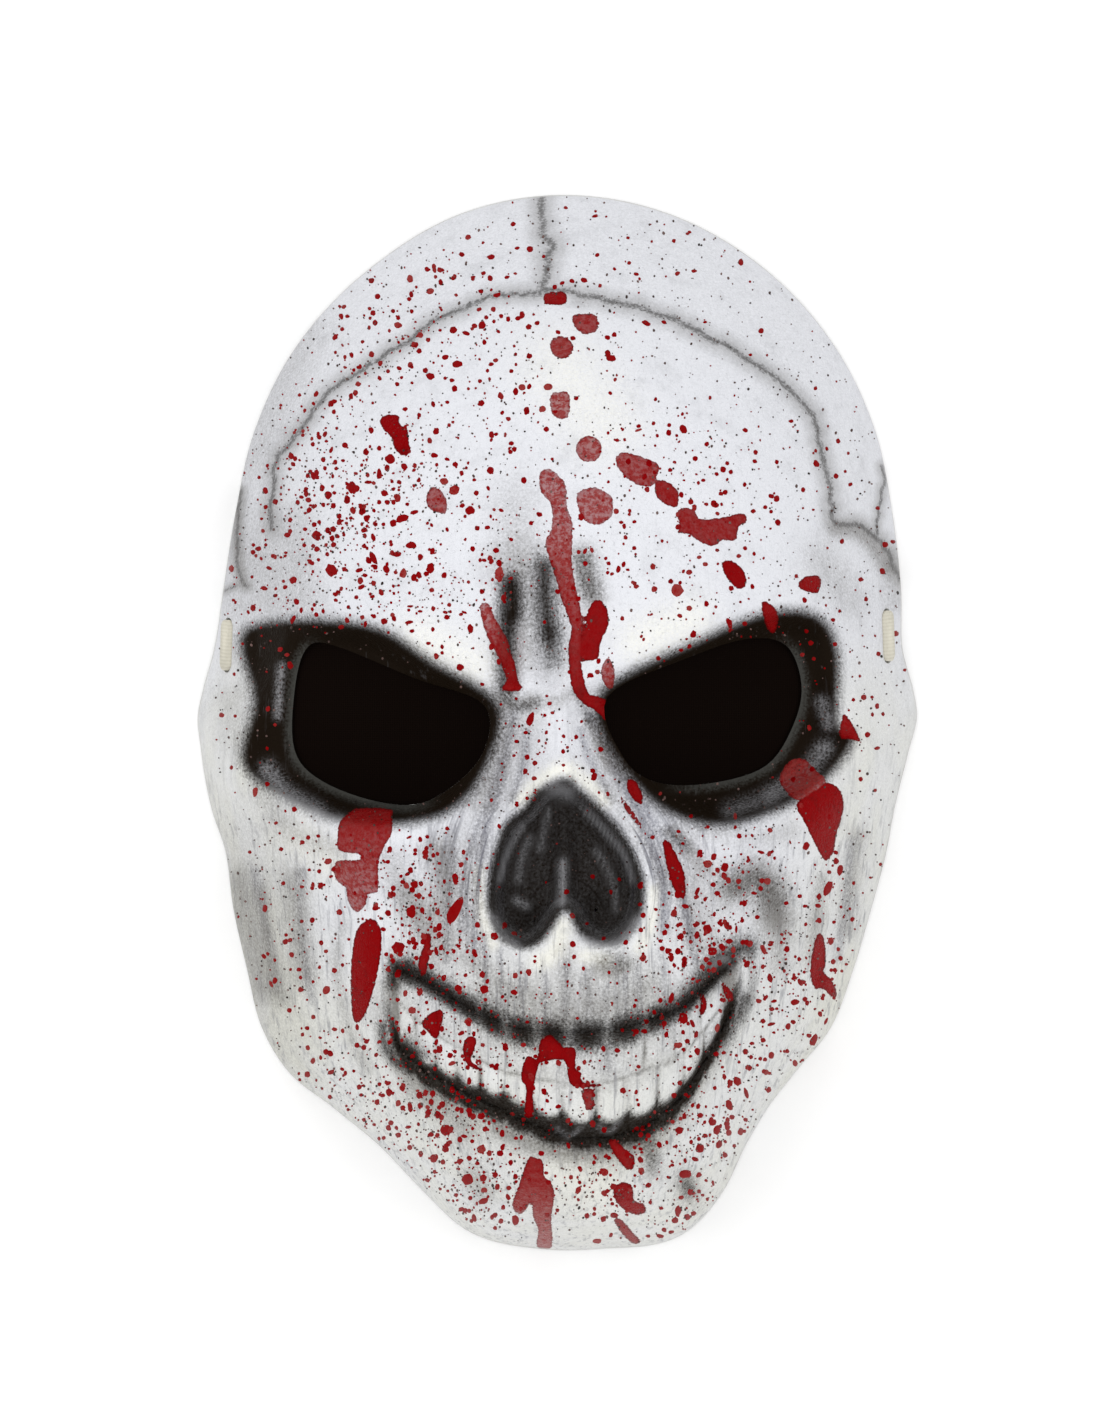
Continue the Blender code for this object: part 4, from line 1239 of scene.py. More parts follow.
def blood_red(tree, place, depth, thinness):
    """Stage blood: darkest along its dried edge, full red, and pinker and brushy where it is thin."""
    blot = noise(tree, place, 0.30, 4.0, 0.65)
    cracks = noise(tree, stretched(tree, place, (1.0, 0.8, 1.0)), 1.8, 4.0, 0.75)
    both = maths(tree, "ADD", maths(tree, "MULTIPLY", blot, 0.45), maths(tree, "MULTIPLY", cracks, 0.55))
    thin = maths(tree, "MULTIPLY", thinness, smooth_step(tree, both, 0.38, 0.60, 0.15, 1.5))
    thin = maths(tree, "MULTIPLY", thin, smooth_step(tree, depth, 0.1, 1.2, 0.45, 1.0))
    red = mix_colour(tree, smooth_step(tree, depth, 0.0, 0.6), BLOOD_DARK, BLOOD_FULL)
    red = mix_colour(tree, smooth_step(tree, blot, 0.50, 0.72, 0.0, 0.6), red, BLOOD_DARK)
    return mix_colour(tree, thin, red, BLOOD_THIN)


def painted_shell():
    made, tree, shader, place = new_material("painted skull")

    def sprayed(name, grain):
        return use_group(tree, GRAIN, Vector=place, Amount=layer(tree, name), Grain=grain)

    # Old white paint, cool on the face, yellowed low down and at the sides, mottled all over, and lighter
    # in painted highlights on the raised places.
    stain = noise(tree, place, 0.045, 3.0, 0.6)
    warm = maths(tree, "MULTIPLY", layer(tree, "yellowing"), smooth_step(tree, stain, 0.3, 0.7, 0.5, 1.0))
    colour = mix_colour(tree, warm, WHITE_COOL, WHITE_WARM)
    highlight = sprayed("painted_highlight", 0.8)
    colour = mix_colour(tree, highlight, colour, HIGHLIGHT_WHITE)
    mottle = smooth_step(tree, noise(tree, place, 1.1, 5.0, 0.8), 0.52, 0.78, 0.0, 0.50)
    colour = mix_colour(tree, mottle, colour, MOTTLE_GREY)
    dirt = smooth_step(tree, noise(tree, place, 0.10, 5.0, 0.7), 0.48, 0.80, 0.0, 0.28)
    colour = mix_colour(tree, dirt, colour, MOTTLE_GREY)

    # Brush streaks: round the nose they follow its edge, and elsewhere they run down the face.
    ring = add_node(tree, "ShaderNodeCombineXYZ")
    feed(tree, ring.inputs[0], maths(tree, "MULTIPLY", layer(tree, "nose_far"), 0.8))
    feed(tree, ring.inputs[1], maths(tree, "MULTIPLY", layer(tree, "edge_share"), 4.0))
    split = add_node(tree, "ShaderNodeSeparateXYZ")
    feed(tree, split.inputs[0], place)
    beside = smooth_step(tree, split.outputs["Y"], -56.0, -40.0)
    beside = maths(tree, "MULTIPLY", beside, smooth_step(tree, split.outputs["Y"], -14.0, -26.0))
    near_nose = smooth_step(tree, layer(tree, "nose_far"), 4.0, 24.0, 0.8, 0.0)
    near_nose = maths(tree, "MULTIPLY", near_nose, beside)
    streak = smooth_step(tree, noise(tree, ring.outputs[0], 1.0, 2.0, 0.6), 0.48, 0.70)
    colour = mix_colour(tree, maths(tree, "MULTIPLY", streak, near_nose), colour, COOL_GREY)
    drawn = noise(tree, stretched(tree, place, (0.9, 0.05, 0.25)), 1.0, 3.0, 0.65)
    low_face = smooth_step(tree, split.outputs["Y"], 10.0, -40.0, 0.05, 0.50)
    down = maths(tree, "MULTIPLY", smooth_step(tree, drawn, 0.50, 0.72), low_face)
    colour = mix_colour(tree, down, colour, COOL_GREY)
    cool = sprayed("cool_streaks", 1.0)
    colour = mix_colour(tree, maths(tree, "MULTIPLY", cool, 0.95), colour, COOL_GREY)

    # Soft airbrushed grey with painted shade towards the sides, the seams, the black, and the grey rubbed
    # back over the black.
    grey = sprayed("grey_paint_and_shade", 0.8)
    colour = mix_colour(tree, maths(tree, "MULTIPLY", grey, 0.9), colour, WARM_GREY)
    sway = maths(tree, "SUBTRACT", noise(tree, place, 1.2, 3.0, 0.7), 0.5)
    seam_far = maths(tree, "MULTIPLY_ADD", sway, 2.4, layer(tree, "seam_far"))
    colour = mix_colour(tree, smooth_step(tree, seam_far, 0.2, 4.0, 0.42, 0.0), colour, WARM_GREY)
    colour = mix_colour(tree, smooth_step(tree, seam_far, 0.0, 0.9, 0.80, 0.0), colour, SEAM_GREY)
    black = sprayed("black_paint", 0.9)
    colour = mix_colour(tree, black, colour, BLACK_BROWN)
    rub = sprayed("rubbed_grey", 1.4)
    colour = mix_colour(tree, maths(tree, "MULTIPLY", rub, 0.6), colour, RUB_GREY)
    scratches = smooth_step(tree, drawn, 0.60, 0.75, 0.0, 0.07)
    colour = mix_colour(tree, maths(tree, "MULTIPLY", scratches, black), colour, RUB_GREY)
    # The lip of each eye opening, lighter on its outer and lower sides: the bare wall, and a painted
    # highlight where its leaning face catches the light.
    lip = sprayed("lit_cut_lip", 1.6)
    colour = mix_colour(tree, maths(tree, "MULTIPLY", lip, 0.9), colour, LIP_LIT_GREY)

    # The large splashes of blood, with a ragged edge.
    fray = maths(tree, "SUBTRACT", noise(tree, place, 0.9, 3.0, 0.6), 0.5)
    ragged = maths(tree, "MULTIPLY_ADD", fray, 1.0, layer(tree, "blood_depth"))
    blood = smooth_step(tree, ragged, -0.10, 0.10)
    thin = layer(tree, "blood_thin")
    red = blood_red(tree, place, ragged, thin)
    brushed = smooth_step(tree, noise(tree, place, 0.8, 4.0, 0.7), 0.42, 0.62, 0.02, 0.26)
    cover = maths(tree, "MULTIPLY", maths(tree, "POWER", thin, 2.0), brushed)
    cover = maths(tree, "SUBTRACT", 1.0, cover)
    colour = mix_colour(tree, maths(tree, "MULTIPLY", blood, cover), colour, red)

    # The inside is bare plastic.
    inner = layer(tree, "inside")
    plastic = mix_colour(tree, smooth_step(tree, stain, 0.35, 0.7), PLASTIC_INSIDE, PLASTIC_DULL)
    colour = mix_colour(tree, inner, colour, plastic)
    feed(tree, shader.inputs["Base Color"], colour)

    rough = smooth_step(tree, noise(tree, place, 0.6, 3.0, 0.6), 0.3, 0.7, 0.42, 0.58)
    rough = maths(tree, "MULTIPLY_ADD", blood, -0.20, rough)
    rough = maths(tree, "MULTIPLY_ADD", inner, 0.12, rough)
    feed(tree, shader.inputs["Roughness"], rough)
    dark = maths(tree, "MAXIMUM", blood, black)
    feed(tree, shader.inputs["Specular IOR Level"], maths(tree, "MULTIPLY_ADD", dark, -0.21, 0.22))

    crackle = use_group(tree, CRACKLE, Vector=place)
    relief = maths(tree, "MULTIPLY", crackle, maths(tree, "MULTIPLY_ADD", inner, -0.8, 1.0))
    coat = smooth_step(tree, ragged, 0.0, 0.5, 0.0, 0.8)
    give_relief(tree, shader, maths(tree, "ADD", relief, coat), 0.6, 0.25)
    return made


shell.data.materials.clear()
shell.data.materials.append(painted_shell())

# Over the paint lie thousands of drops of stage blood and fine black specks, flicked on with a brush.
# Each is a thin dried bead of paint on the surface. The larger ones lie where the photo has them, and
# the fine ones fall at random, thickest in the given fields.

# Middle x and y, width and height, in the photo's pixels.
DROPS = (
    (481, 403, 8, 7), (447, 402, 5, 4), (433, 404, 5, 7), (405, 409, 6, 5), (419, 415, 5, 6),
    (351, 396, 5, 7), (397, 384, 5, 5), (399, 368, 6, 5), (388, 371, 5, 5), (430, 376, 10, 8),
    (457, 364, 12, 8), (445, 357, 8, 6), (419, 351, 6, 6), (453, 330, 9, 8), (466, 333, 9, 5),
    (482, 325, 9, 9), (501, 316, 5, 5), (518, 318, 7, 5), (537, 323, 6, 5), (491, 364, 6, 5),
    (529, 356, 7, 6), (511, 371, 5, 5), (491, 257, 9, 6), (517, 248, 6, 4), (530, 249, 8, 7),
    (507, 277, 6, 4), (490, 278, 6, 8), (473, 277, 6, 3), (453, 278, 5, 5), (442, 270, 6, 4),
    (513, 224, 6, 5), (409, 299, 5, 5), (373, 313, 6, 6), (393, 311, 5, 5), (497, 295, 10, 5),
    (390, 459, 11, 12), (387, 468, 6, 8), (379, 474, 6, 12), (368, 482, 9, 4), (384, 493, 8, 7),
    (399, 482, 6, 5), (387, 502, 6, 6), (379, 502, 5, 6), (407, 504, 5, 4), (402, 518, 14, 9),
    (414, 512, 9, 5), (393, 523, 8, 8), (375, 524, 6, 5), (364, 530, 8, 6), (373, 537, 5, 10),
    (411, 545, 12, 8), (432, 551, 6, 8), (333, 529, 8, 7), (337, 536, 6, 5), (364, 546, 6, 5),
    (304, 545, 5, 5), (313, 546, 5, 5), (290, 520, 5, 6), (287, 535, 8, 6), (305, 529, 5, 5),
    (301, 497, 6, 4), (319, 522, 5, 5), (322, 488, 6, 8), (328, 495, 9, 10), (335, 462, 5, 6),
    (317, 477, 5, 6), (291, 456, 6, 8), (293, 464, 6, 5), (318, 434, 4, 6), (325, 434, 5, 8),
    (331, 450, 4, 8), (345, 445, 7, 6), (365, 451, 4, 8), (379, 448, 5, 6), (371, 430, 6, 8),
    (436, 431, 7, 8), (434, 455, 8, 6), (447, 459, 6, 4), (455, 464, 6, 6), (490, 470, 8, 9),
    (514, 449, 6, 6), (511, 443, 6, 5), (488, 488, 4, 6), (501, 510, 6, 4), (477, 528, 6, 6),
    (539, 514, 8, 5), (347, 500, 7, 8), (362, 511, 8, 9), (339, 516, 6, 6), (316, 535, 10, 11),
    (352, 487, 9, 14), (470, 510, 11, 10), (331, 570, 13, 15), (373, 558, 7, 16), (430, 568, 9, 12),
    (293, 580, 9, 8), (361, 587, 9, 5), (273, 556, 6, 5), (312, 563, 6, 5), (327, 554, 5, 5),
    (359, 570, 9, 5), (344, 569, 5, 6), (386, 569, 7, 9), (397, 554, 10, 6), (420, 557, 6, 8),
    (444, 575, 6, 7), (484, 560, 6, 4), (264, 588, 8, 5), (269, 568, 7, 4), (285, 587, 6, 5),
    (335, 594, 6, 5), (356, 597, 5, 5), (460, 667, 8, 8), (482, 684, 5, 4), (384, 621, 8, 7),
    (374, 616, 5, 5), (365, 624, 4, 7), (409, 622, 10, 4), (428, 643, 6, 4), (445, 612, 6, 4),
    (464, 612, 7, 3), (420, 611, 6, 3), (410, 606, 7, 3), (323, 611, 4, 6), (301, 610, 4, 7),
    (293, 619, 5, 11), (253, 607, 6, 4), (348, 607, 4, 5), (281, 849, 5, 5), (318, 836, 5, 4),
    (319, 871, 5, 5), (283, 883, 5, 5), (312, 888, 5, 5), (415, 850, 5, 5), (409, 837, 7, 3),
    (420, 839, 5, 7), (433, 855, 5, 6), (414, 884, 9, 9), (393, 888, 6, 6), (407, 874, 6, 4),
    (375, 908, 8, 6), (388, 913, 7, 7), (411, 912, 11, 13), (422, 910, 6, 7), (312, 920, 6, 6),
    (455, 878, 7, 12), (454, 911, 13, 33), (530, 719, 8, 16), (525, 771, 5, 7), (527, 798, 5, 5),
    (499, 826, 4, 7), (307, 1028, 5, 5), (326, 1052, 7, 7), (331, 1072, 8, 5), (330, 1097, 5, 5),
    (359, 1087, 6, 6), (361, 1095, 5, 4), (388, 1083, 7, 5), (389, 1092, 7, 9), (402, 1088, 6, 8),
    (377, 1102, 6, 7), (410, 1107, 6, 12), (408, 1127, 7, 4), (398, 1135, 7, 6), (357, 1045, 6, 6),
    (357, 1027, 4, 8), (383, 929, 6, 5), (386, 954, 5, 5), (398, 948, 15, 14), (413, 941, 6, 8),
    (441, 947, 5, 8), (436, 951, 5, 10), (458, 988, 8, 8), (484, 989, 10, 9), (514, 992, 8, 6),
    (494, 936, 9, 9), (398, 1029, 4, 6), (409, 1029, 4, 9), (461, 1033, 8, 5), (436, 1042, 4, 8),
    (507, 1086, 5, 4), (469, 1081, 6, 9), (431, 1102, 6, 8), (442, 1104, 7, 8), (457, 1109, 6, 6),
    (469, 1111, 7, 8), (481, 1116, 9, 8), (445, 1130, 13, 13), (431, 1134, 6, 6), (464, 1136, 8, 4),
    (472, 1141, 5, 5), (502, 1133, 6, 9), (445, 1149, 8, 8), (434, 1158, 9, 10), (469, 1158, 6, 6),
    (477, 1163, 5, 5), (500, 1153, 8, 7), (541, 1153, 7, 6), (467, 1179, 13, 13), (483, 1178, 8, 9),
    (483, 1201, 12, 7), (456, 1195, 5, 5), (474, 1218, 5, 10), (492, 1217, 5, 6), (495, 1228, 5, 5),
    (515, 1220, 8, 13), (503, 1207, 5, 6), (508, 1197, 5, 8), (521, 1137, 4, 6), (568, 1145, 4, 8),
    (617, 1050, 7, 6), (646, 1021, 6, 6), (687, 1041, 6, 6), (697, 1051, 7, 9), (696, 1034, 5, 8),
    (683, 1018, 12, 12), (692, 1023, 5, 10), (671, 998, 6, 12), (660, 1000, 5, 6), (712, 951, 10, 10),
    (707, 929, 10, 12), (722, 947, 7, 10), (727, 924, 5, 6), (721, 924, 5, 5), (714, 914, 4, 6),
    (736, 929, 3, 9), (746, 942, 8, 6), (729, 941, 8, 6), (771, 942, 7, 3), (757, 917, 6, 5),
    (744, 903, 7, 7), (754, 893, 7, 4), (724, 868, 8, 8), (697, 891, 5, 10), (705, 899, 4, 6),
    (717, 893, 7, 6), (685, 906, 9, 5), (667, 926, 5, 6), (680, 924, 6, 5), (681, 936, 7, 7),
    (643, 915, 7, 6), (662, 948, 6, 6), (671, 958, 6, 8), (674, 965, 4, 6), (770, 978, 6, 11),
    (766, 997, 4, 6), (774, 1001, 7, 4), (795, 1002, 10, 7), (807, 1003, 5, 6), (793, 1022, 6, 5),
    (763, 1021, 6, 6), (771, 1024, 9, 4), (763, 1040, 6, 6), (820, 1014, 5, 7), (826, 1021, 3, 9),
    (814, 1040, 8, 15), (800, 982, 5, 9), (799, 959, 5, 5), (804, 972, 4, 4), (845, 989, 4, 17),
    (834, 922, 5, 4), (786, 903, 6, 5), (805, 906, 6, 4), (840, 870, 7, 12), (828, 888, 9, 18),
    (737, 1081, 9, 11), (746, 1093, 5, 12), (729, 1105, 8, 13), (732, 1117, 6, 6), (698, 1106, 5, 7),
    (700, 1115, 7, 6), (711, 1121, 6, 9), (717, 1130, 8, 11), (719, 1144, 7, 10), (725, 1155, 6, 6),
    (700, 1148, 10, 11), (695, 1159, 8, 5), (679, 1130, 10, 8), (684, 1116, 5, 7), (643, 1128, 7, 6),
    (685, 1174, 15, 10), (648, 1185, 7, 6), (614, 1215, 10, 6), (678, 1211, 7, 12), (675, 1220, 8, 7),
    (713, 1183, 3, 7), (660, 1236, 9, 5), (671, 1232, 7, 4), (648, 1236, 6, 4), (661, 1208, 5, 4),
    (595, 216, 7, 4), (597, 255, 6, 4), (694, 271, 7, 4), (636, 274, 6, 4), (584, 280, 8, 6),
    (572, 281, 6, 5), (562, 283, 6, 4), (646, 323, 10, 6), (664, 322, 6, 4), (705, 322, 5, 3),
    (611, 358, 11, 8), (558, 332, 6, 5), (576, 398, 6, 5), (610, 393, 5, 4), (669, 425, 5, 5),
    (683, 429, 8, 11), (745, 430, 6, 5), (791, 421, 6, 4), (617, 440, 5, 4), (723, 469, 7, 7),
    (727, 463, 5, 5), (703, 480, 5, 4), (725, 492, 6, 6), (771, 496, 7, 5), (765, 507, 5, 5),
    (753, 511, 6, 5), (716, 505, 7, 6), (621, 522, 5, 4), (745, 548, 5, 5), (717, 550, 5, 4),
    (634, 548, 5, 5), (842, 541, 5, 6), (618, 569, 5, 9), (731, 588, 6, 6), (835, 644, 5, 5),
    (729, 623, 7, 12), (693, 634, 7, 9), (689, 646, 6, 5), (658, 658, 6, 6), (590, 675, 8, 6),
    (872, 697, 4, 4), (877, 706, 5, 7), (883, 714, 4, 5), (877, 748, 7, 4), (806, 846, 7, 10),
    (735, 827, 4, 5), (761, 852, 8, 4), (771, 852, 6, 4), (790, 842, 2, 5), (725, 866, 9, 8),
)

THIN_DROPS = (
    (444, 481, 10, 8), (454, 490, 12, 11), (522, 387, 8, 7), (542, 409, 8, 7), (398, 325, 9, 7),
    (420, 335, 7, 7), (410, 279, 7, 9), (430, 291, 9, 7), (468, 237, 7, 6), (358, 384, 7, 6),
    (548, 387, 10, 8), (499, 574, 11, 17), (403, 573, 8, 12), (328, 861, 9, 7), (339, 912, 7, 7),
    (326, 990, 9, 11), (271, 984, 4, 8), (412, 1010, 9, 8), (405, 993, 5, 8), (452, 1063, 9, 5),
    (481, 1149, 10, 10), (484, 1190, 8, 6), (468, 1021, 9, 8), (678, 1045, 9, 7), (717, 1028, 6, 10),
    (763, 949, 6, 12), (767, 881, 8, 8), (708, 864, 10, 8), (641, 1171, 7, 9), (604, 1172, 9, 9),
    (578, 1190, 6, 10), (597, 1241, 10, 6), (677, 590, 14, 14), (689, 572, 7, 6), (654, 589, 7, 7),
    (689, 608, 7, 6), (705, 564, 6, 5), (699, 557, 6, 4), (616, 511, 7, 6), (638, 430, 9, 3),
    (735, 816, 4, 8), (770, 830, 6, 6), (398, 1103, 6, 8), (255, 792, 6, 12), (708, 863, 9, 7),
)

# Middle x and y, half width and half height in pixels, and how thick the drops fall.
SPRAY_FIELDS = (
    (345, 520, 75, 85, 1.0), (400, 480, 70, 70, 0.7), (330, 430, 70, 60, 0.5), (400, 350, 90, 60, 0.45),
    (480, 420, 70, 90, 0.3), (420, 280, 90, 50, 0.35), (360, 590, 100, 30, 0.7), (600, 350, 90, 60, 0.12),
    (680, 480, 110, 90, 0.3), (700, 590, 110, 50, 0.3), (640, 250, 110, 50, 0.08), (800, 470, 60, 70, 0.12),
    (545, 740, 60, 45, 0.4), (420, 900, 55, 50, 0.9), (440, 960, 60, 40, 0.8), (300, 880, 50, 60, 0.25),
    (330, 1060, 60, 60, 0.35), (440, 1120, 80, 45, 1.0), (470, 1180, 70, 50, 0.9), (440, 1040, 60, 50, 0.9),
    (500, 1040, 60, 40, 0.6), (600, 1050, 70, 30, 0.35), (560, 980, 90, 25, 0.35), (600, 1190, 80, 40, 0.7),
    (700, 1130, 60, 50, 0.9), (690, 1200, 50, 40, 0.8), (740, 1060, 50, 50, 0.6), (700, 950, 60, 50, 0.9),
    (720, 880, 60, 40, 0.7), (790, 970, 50, 60, 0.8), (820, 900, 40, 60, 0.5), (790, 1040, 40, 40, 0.6),
    (750, 640, 60, 30, 0.3), (860, 700, 40, 60, 0.15), (680, 1020, 40, 40, 0.6), (300, 940, 60, 60, 0.35),
    (380, 1100, 70, 50, 0.8), (560, 1110, 120, 60, 0.4), (640, 1150, 60, 40, 0.6), (540, 560, 120, 60, 0.3),
    (430, 580, 90, 50, 0.6), (860, 620, 50, 60, 0.2), (500, 340, 80, 60, 0.35), (250, 620, 40, 60, 0.35),
)
SPRAY_TRIES = 15000
SPRAY_SMALL = 2.0
SPRAY_LARGE = 7.0
SPRAY_EVERYWHERE = 0.05
SPRAY_MOSTLY_SMALL = 2.5
SPRAY_LONG = (0.7, 1.4)
SPECK_TRIES = 17000
SPECK_SMALL = 1.3
SPECK_LARGE = 3.2
SPECK_EVERYWHERE = 0.22
DROP_TONE = 0.06
THIN_DROP_TONE = 0.9
FINE_TONE_MOST = 0.7
SPECK_BLACK = (0.020, 0.014, 0.012)
SPECK_BROWN = (0.16, 0.10, 0.09)
DROP_LIFT = 0.10
DROP_SINK = 0.06
DROP_STEP_MOST = 5.0 / 6
DROP_SIDES = (12, 6)
DROP_SIDES_FROM = 7
DROP_RINGS = ((0.4, 0.74, 1.0), (0.72, 1.0))
DROP_RINGS_FROM = 11
DROP_UNEVEN = (0.84, 1.12)
DROP_LEAN = 0.5
SIGHT_FROM = 130.0
PHOTO_FACE = (215, 195, 905, 1252)


def spray(tries, small, large, base, seed):
    """Random small drops in the photo's pixels, thickest in the spray fields."""
    rng = np.random.default_rng(seed)
    left, top, right, bottom = PHOTO_FACE
    px = rng.uniform(left, right, tries)
    py = rng.uniform(top, bottom, tries)
    thick = np.full(tries, base)
    for middle_x, middle_y, wide, tall, strength in SPRAY_FIELDS:
        far = ((px - middle_x) / wide) ** 2 + ((py - middle_y) / tall) ** 2
        thick = np.maximum(thick, strength * np.exp(-far))
    kept = rng.uniform(0, 1, tries) < thick
    size = small + (large - small) * rng.uniform(0, 1, tries) ** SPRAY_MOSTLY_SMALL
    long = size * rng.uniform(*SPRAY_LONG, tries)
    return np.stack([px, py, size, long], axis=1)[kept]


def lay_drops(name, rows, tones, body, finish):
    """Thin beads on the body: each is a raised middle and ring, and an outer ring sunk in the paint."""
    mesh = body.data
    corners = [v.co.copy() for v in mesh.vertices]
    skin = BVHTree.FromPolygons(corners, [tuple(p.vertices) for p in mesh.polygons])
    rng = np.random.default_rng(len(rows))
    vertices, faces, tone_of = [], [], []
    for (px, py, wide, tall), tone in zip(rows, tones):
        sides = DROP_SIDES[0] if wide + tall > DROP_SIDES_FROM else DROP_SIDES[1]
        shares = DROP_RINGS[0] if wide + tall > DROP_RINGS_FROM else DROP_RINGS[1]
        angles = 2 * math.pi * (np.arange(sides) + rng.uniform()) / sides
        wobble = rng.uniform(*DROP_UNEVEN, sides)
        lean = rng.uniform(-DROP_LEAN, DROP_LEAN)
        a, b = np.cos(angles) * wide / 2 * wobble, np.sin(angles) * tall / 2 * wobble
        turned = (a * math.cos(lean) - b * math.sin(lean), a * math.sin(lean) + b * math.cos(lean))
        ring = np.stack(turned, axis=1)
        flat = np.vstack([[(0.0, 0.0)]] + [ring * share for share in shares]) + (px, py)
        raised = len(flat) - sides
        lift = np.concatenate([np.full(raised, DROP_LIFT), np.full(sides, -DROP_SINK)]) * MM
        points = []
        for (x, y), rise in zip(seen(flat), lift):
            start = Vector(true_place(x, y, SIGHT_FROM))
            way = (Vector(true_place(x, y, 0.0)) - start).normalized()
            place, normal, _, _ = skin.ray_cast(start, way)
            if place is None:
                break
            points.append(place + (normal if normal.z > 0 else -normal) * rise)
        heights = [point.z for point in points]
        most = DROP_STEP_MOST * MM * (1 + wide + tall)
        if len(points) < len(flat) or max(heights) - min(heights) > most:
            continue
        first = len(vertices)
        vertices += points
        tone_of += [tone] * len(points)
        for i in range(sides):
            j = (i + 1) % sides
            faces.append((first, first + 1 + j, first + 1 + i))
            for ring_start in range(first + 1, first + raised, sides):
                near_i, near_j = ring_start + i, ring_start + j
                faces.append((near_i, near_j, near_j + sides, near_i + sides))
    made = make_object(name, vertices, faces)
    write_layer(made.data, "tone", tone_of)
    made.data.materials.append(finish)
    made.data.shade_smooth()
    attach(made, "root")


def drop_material():
    made, tree, shader, place = new_material("blood drops")
    red = blood_red(tree, place, 1.0, layer(tree, "tone"))
    feed(tree, shader.inputs["Base Color"], red)
    shader.inputs["Roughness"].default_value = 0.4
    shader.inputs["Specular IOR Level"].default_value = 0.01
    return made


def speck_material():
    made, tree, shader, place = new_material("black specks")
    colour = mix_colour(tree, layer(tree, "tone"), SPECK_BLACK, SPECK_BROWN)
    feed(tree, shader.inputs["Base Color"], colour)
    shader.inputs["Roughness"].default_value = 0.6
    shader.inputs["Specular IOR Level"].default_value = 0.05
    return made


fine_red = spray(SPRAY_TRIES, SPRAY_SMALL, SPRAY_LARGE, SPRAY_EVERYWHERE, 11)
red_rows = np.vstack([np.array(DROPS, float), np.array(THIN_DROPS, float), fine_red])
shades = np.random.default_rng(5).uniform(0.0, 1.0, len(fine_red)) ** 3 * FINE_TONE_MOST
red_tones = [np.full(len(DROPS), DROP_TONE), np.full(len(THIN_DROPS), THIN_DROP_TONE), shades]
red_tones = np.concatenate(red_tones)
lay_drops("blood_drops", red_rows, red_tones, shell, drop_material())

black_rows = spray(SPECK_TRIES, SPECK_SMALL, SPECK_LARGE, SPECK_EVERYWHERE, 23)
black_tones = np.random.default_rng(7).uniform(0.0, 1.0, len(black_rows))
lay_drops("black_specks", black_rows, black_tones, shell, speck_material())

# Behind each eye opening a panel of black see-through mesh is glued to the inside of the socket's
# floor. It is stretched flat, and hides the wearer's eyes.
GAP = 0.3
GAUZE_THICK = 0.5
GAUZE_MARGIN = 2.0
GAUZE_STEP = 2.0
GAUZE_STEPS = 4
GAUZE_MIDDLE = 0.06
GAUZE_BLACK = (0.0024, 0.0013, 0.0009)
GAUZE_LIGHT = (0.0050, 0.0028, 0.0020)


def gauze_material():
    made, tree, shader, place = new_material("black gauze")
    threads = []
    for axis in ("X", "Y"):
        wave = add_node(tree, "ShaderNodeTexWave", wave_type="BANDS", bands_direction=axis)
        feed(tree, wave.inputs["Vector"], place)
        wave.inputs["Scale"].default_value = 0.55
        wave.inputs["Distortion"].default_value = 0.3
        threads.append(wave.outputs["Fac"])
    weave = maths(tree, "MAXIMUM", threads[0], threads[1])
    feed(tree, shader.inputs["Base Color"], mix_colour(tree, weave, GAUZE_BLACK, GAUZE_LIGHT))
    shader.inputs["Roughness"].default_value = 0.95
    shader.inputs["Specular IOR Level"].default_value = 0.02
    give_relief(tree, shader, weave, 0.5, 0.1)
    return made


def ring_faces(rings, count):
    """The faces between rings of points that follow one another, with count points in each."""
    faces = []
    for first in range(0, (rings - 1) * count, count):
        for i in range(count):
            j = (i + 1) % count
            faces.append([first + i, first + j, first + count + j, first + count + i])
    return faces


def gauze_panel(side, eye, finish):
    """A thin panel: rings of points from the outline in to its middle, on both faces."""
    outline = curve_through(eye["opening"], GAUZE_STEPS, True)
    middle = outline.mean(axis=0)
    out = outline - middle
    outline = middle + out * (1 + GAUZE_MARGIN / np.hypot(out[:, 0], out[:, 1]))[:, None]
    rings = int(np.hypot(*(outline - middle).T).min() / GAUZE_STEP)
    _, to_right, up = eye["floor"]
    normal = np.array([-to_right, -up, 1.0])
    normal /= np.linalg.norm(normal)
    shares = np.linspace(1.0, GAUZE_MIDDLE, rings)
    flat = np.vstack([middle + (outline - middle) * share for share in shares])
    front = true_place(flat[:, 0], flat[:, 1], socket_floor(eye, flat[:, 0], flat[:, 1]))
    front = front - normal * (WALL + GAP) * MM
    count = len(outline)
    faces = [[(rings - 1) * count + i for i in range(count)]] + ring_faces(rings, count)
    panel = make_object(f"eye_mesh_{side}", front, faces)
    thick = panel.modifiers.new("cloth", "SOLIDIFY")
    thick.thickness = GAUZE_THICK * MM
    thick.offset = -1.0
    panel.data.materials.append(finish)
    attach(panel, "root")
    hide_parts(f"eye_gauze_{side}")


gauze_finish = gauze_material()
for side, eye in EYES.items():
    gauze_panel(side, eye, gauze_finish)

# The strap is a flat woven band of cream elastic. Each end is folded double and fills its slot; from
# there it drops behind the wall and lies slack and straight across, under the hollow of the mask.
STRAP_WIDE = 13.0
STRAP_THICK = 1.4
STRAP_FOLD = 4.4
STRAP_SIDES = 28
STRAP_SPANS = 6
STRAP_TUCK = WALL + 5.0
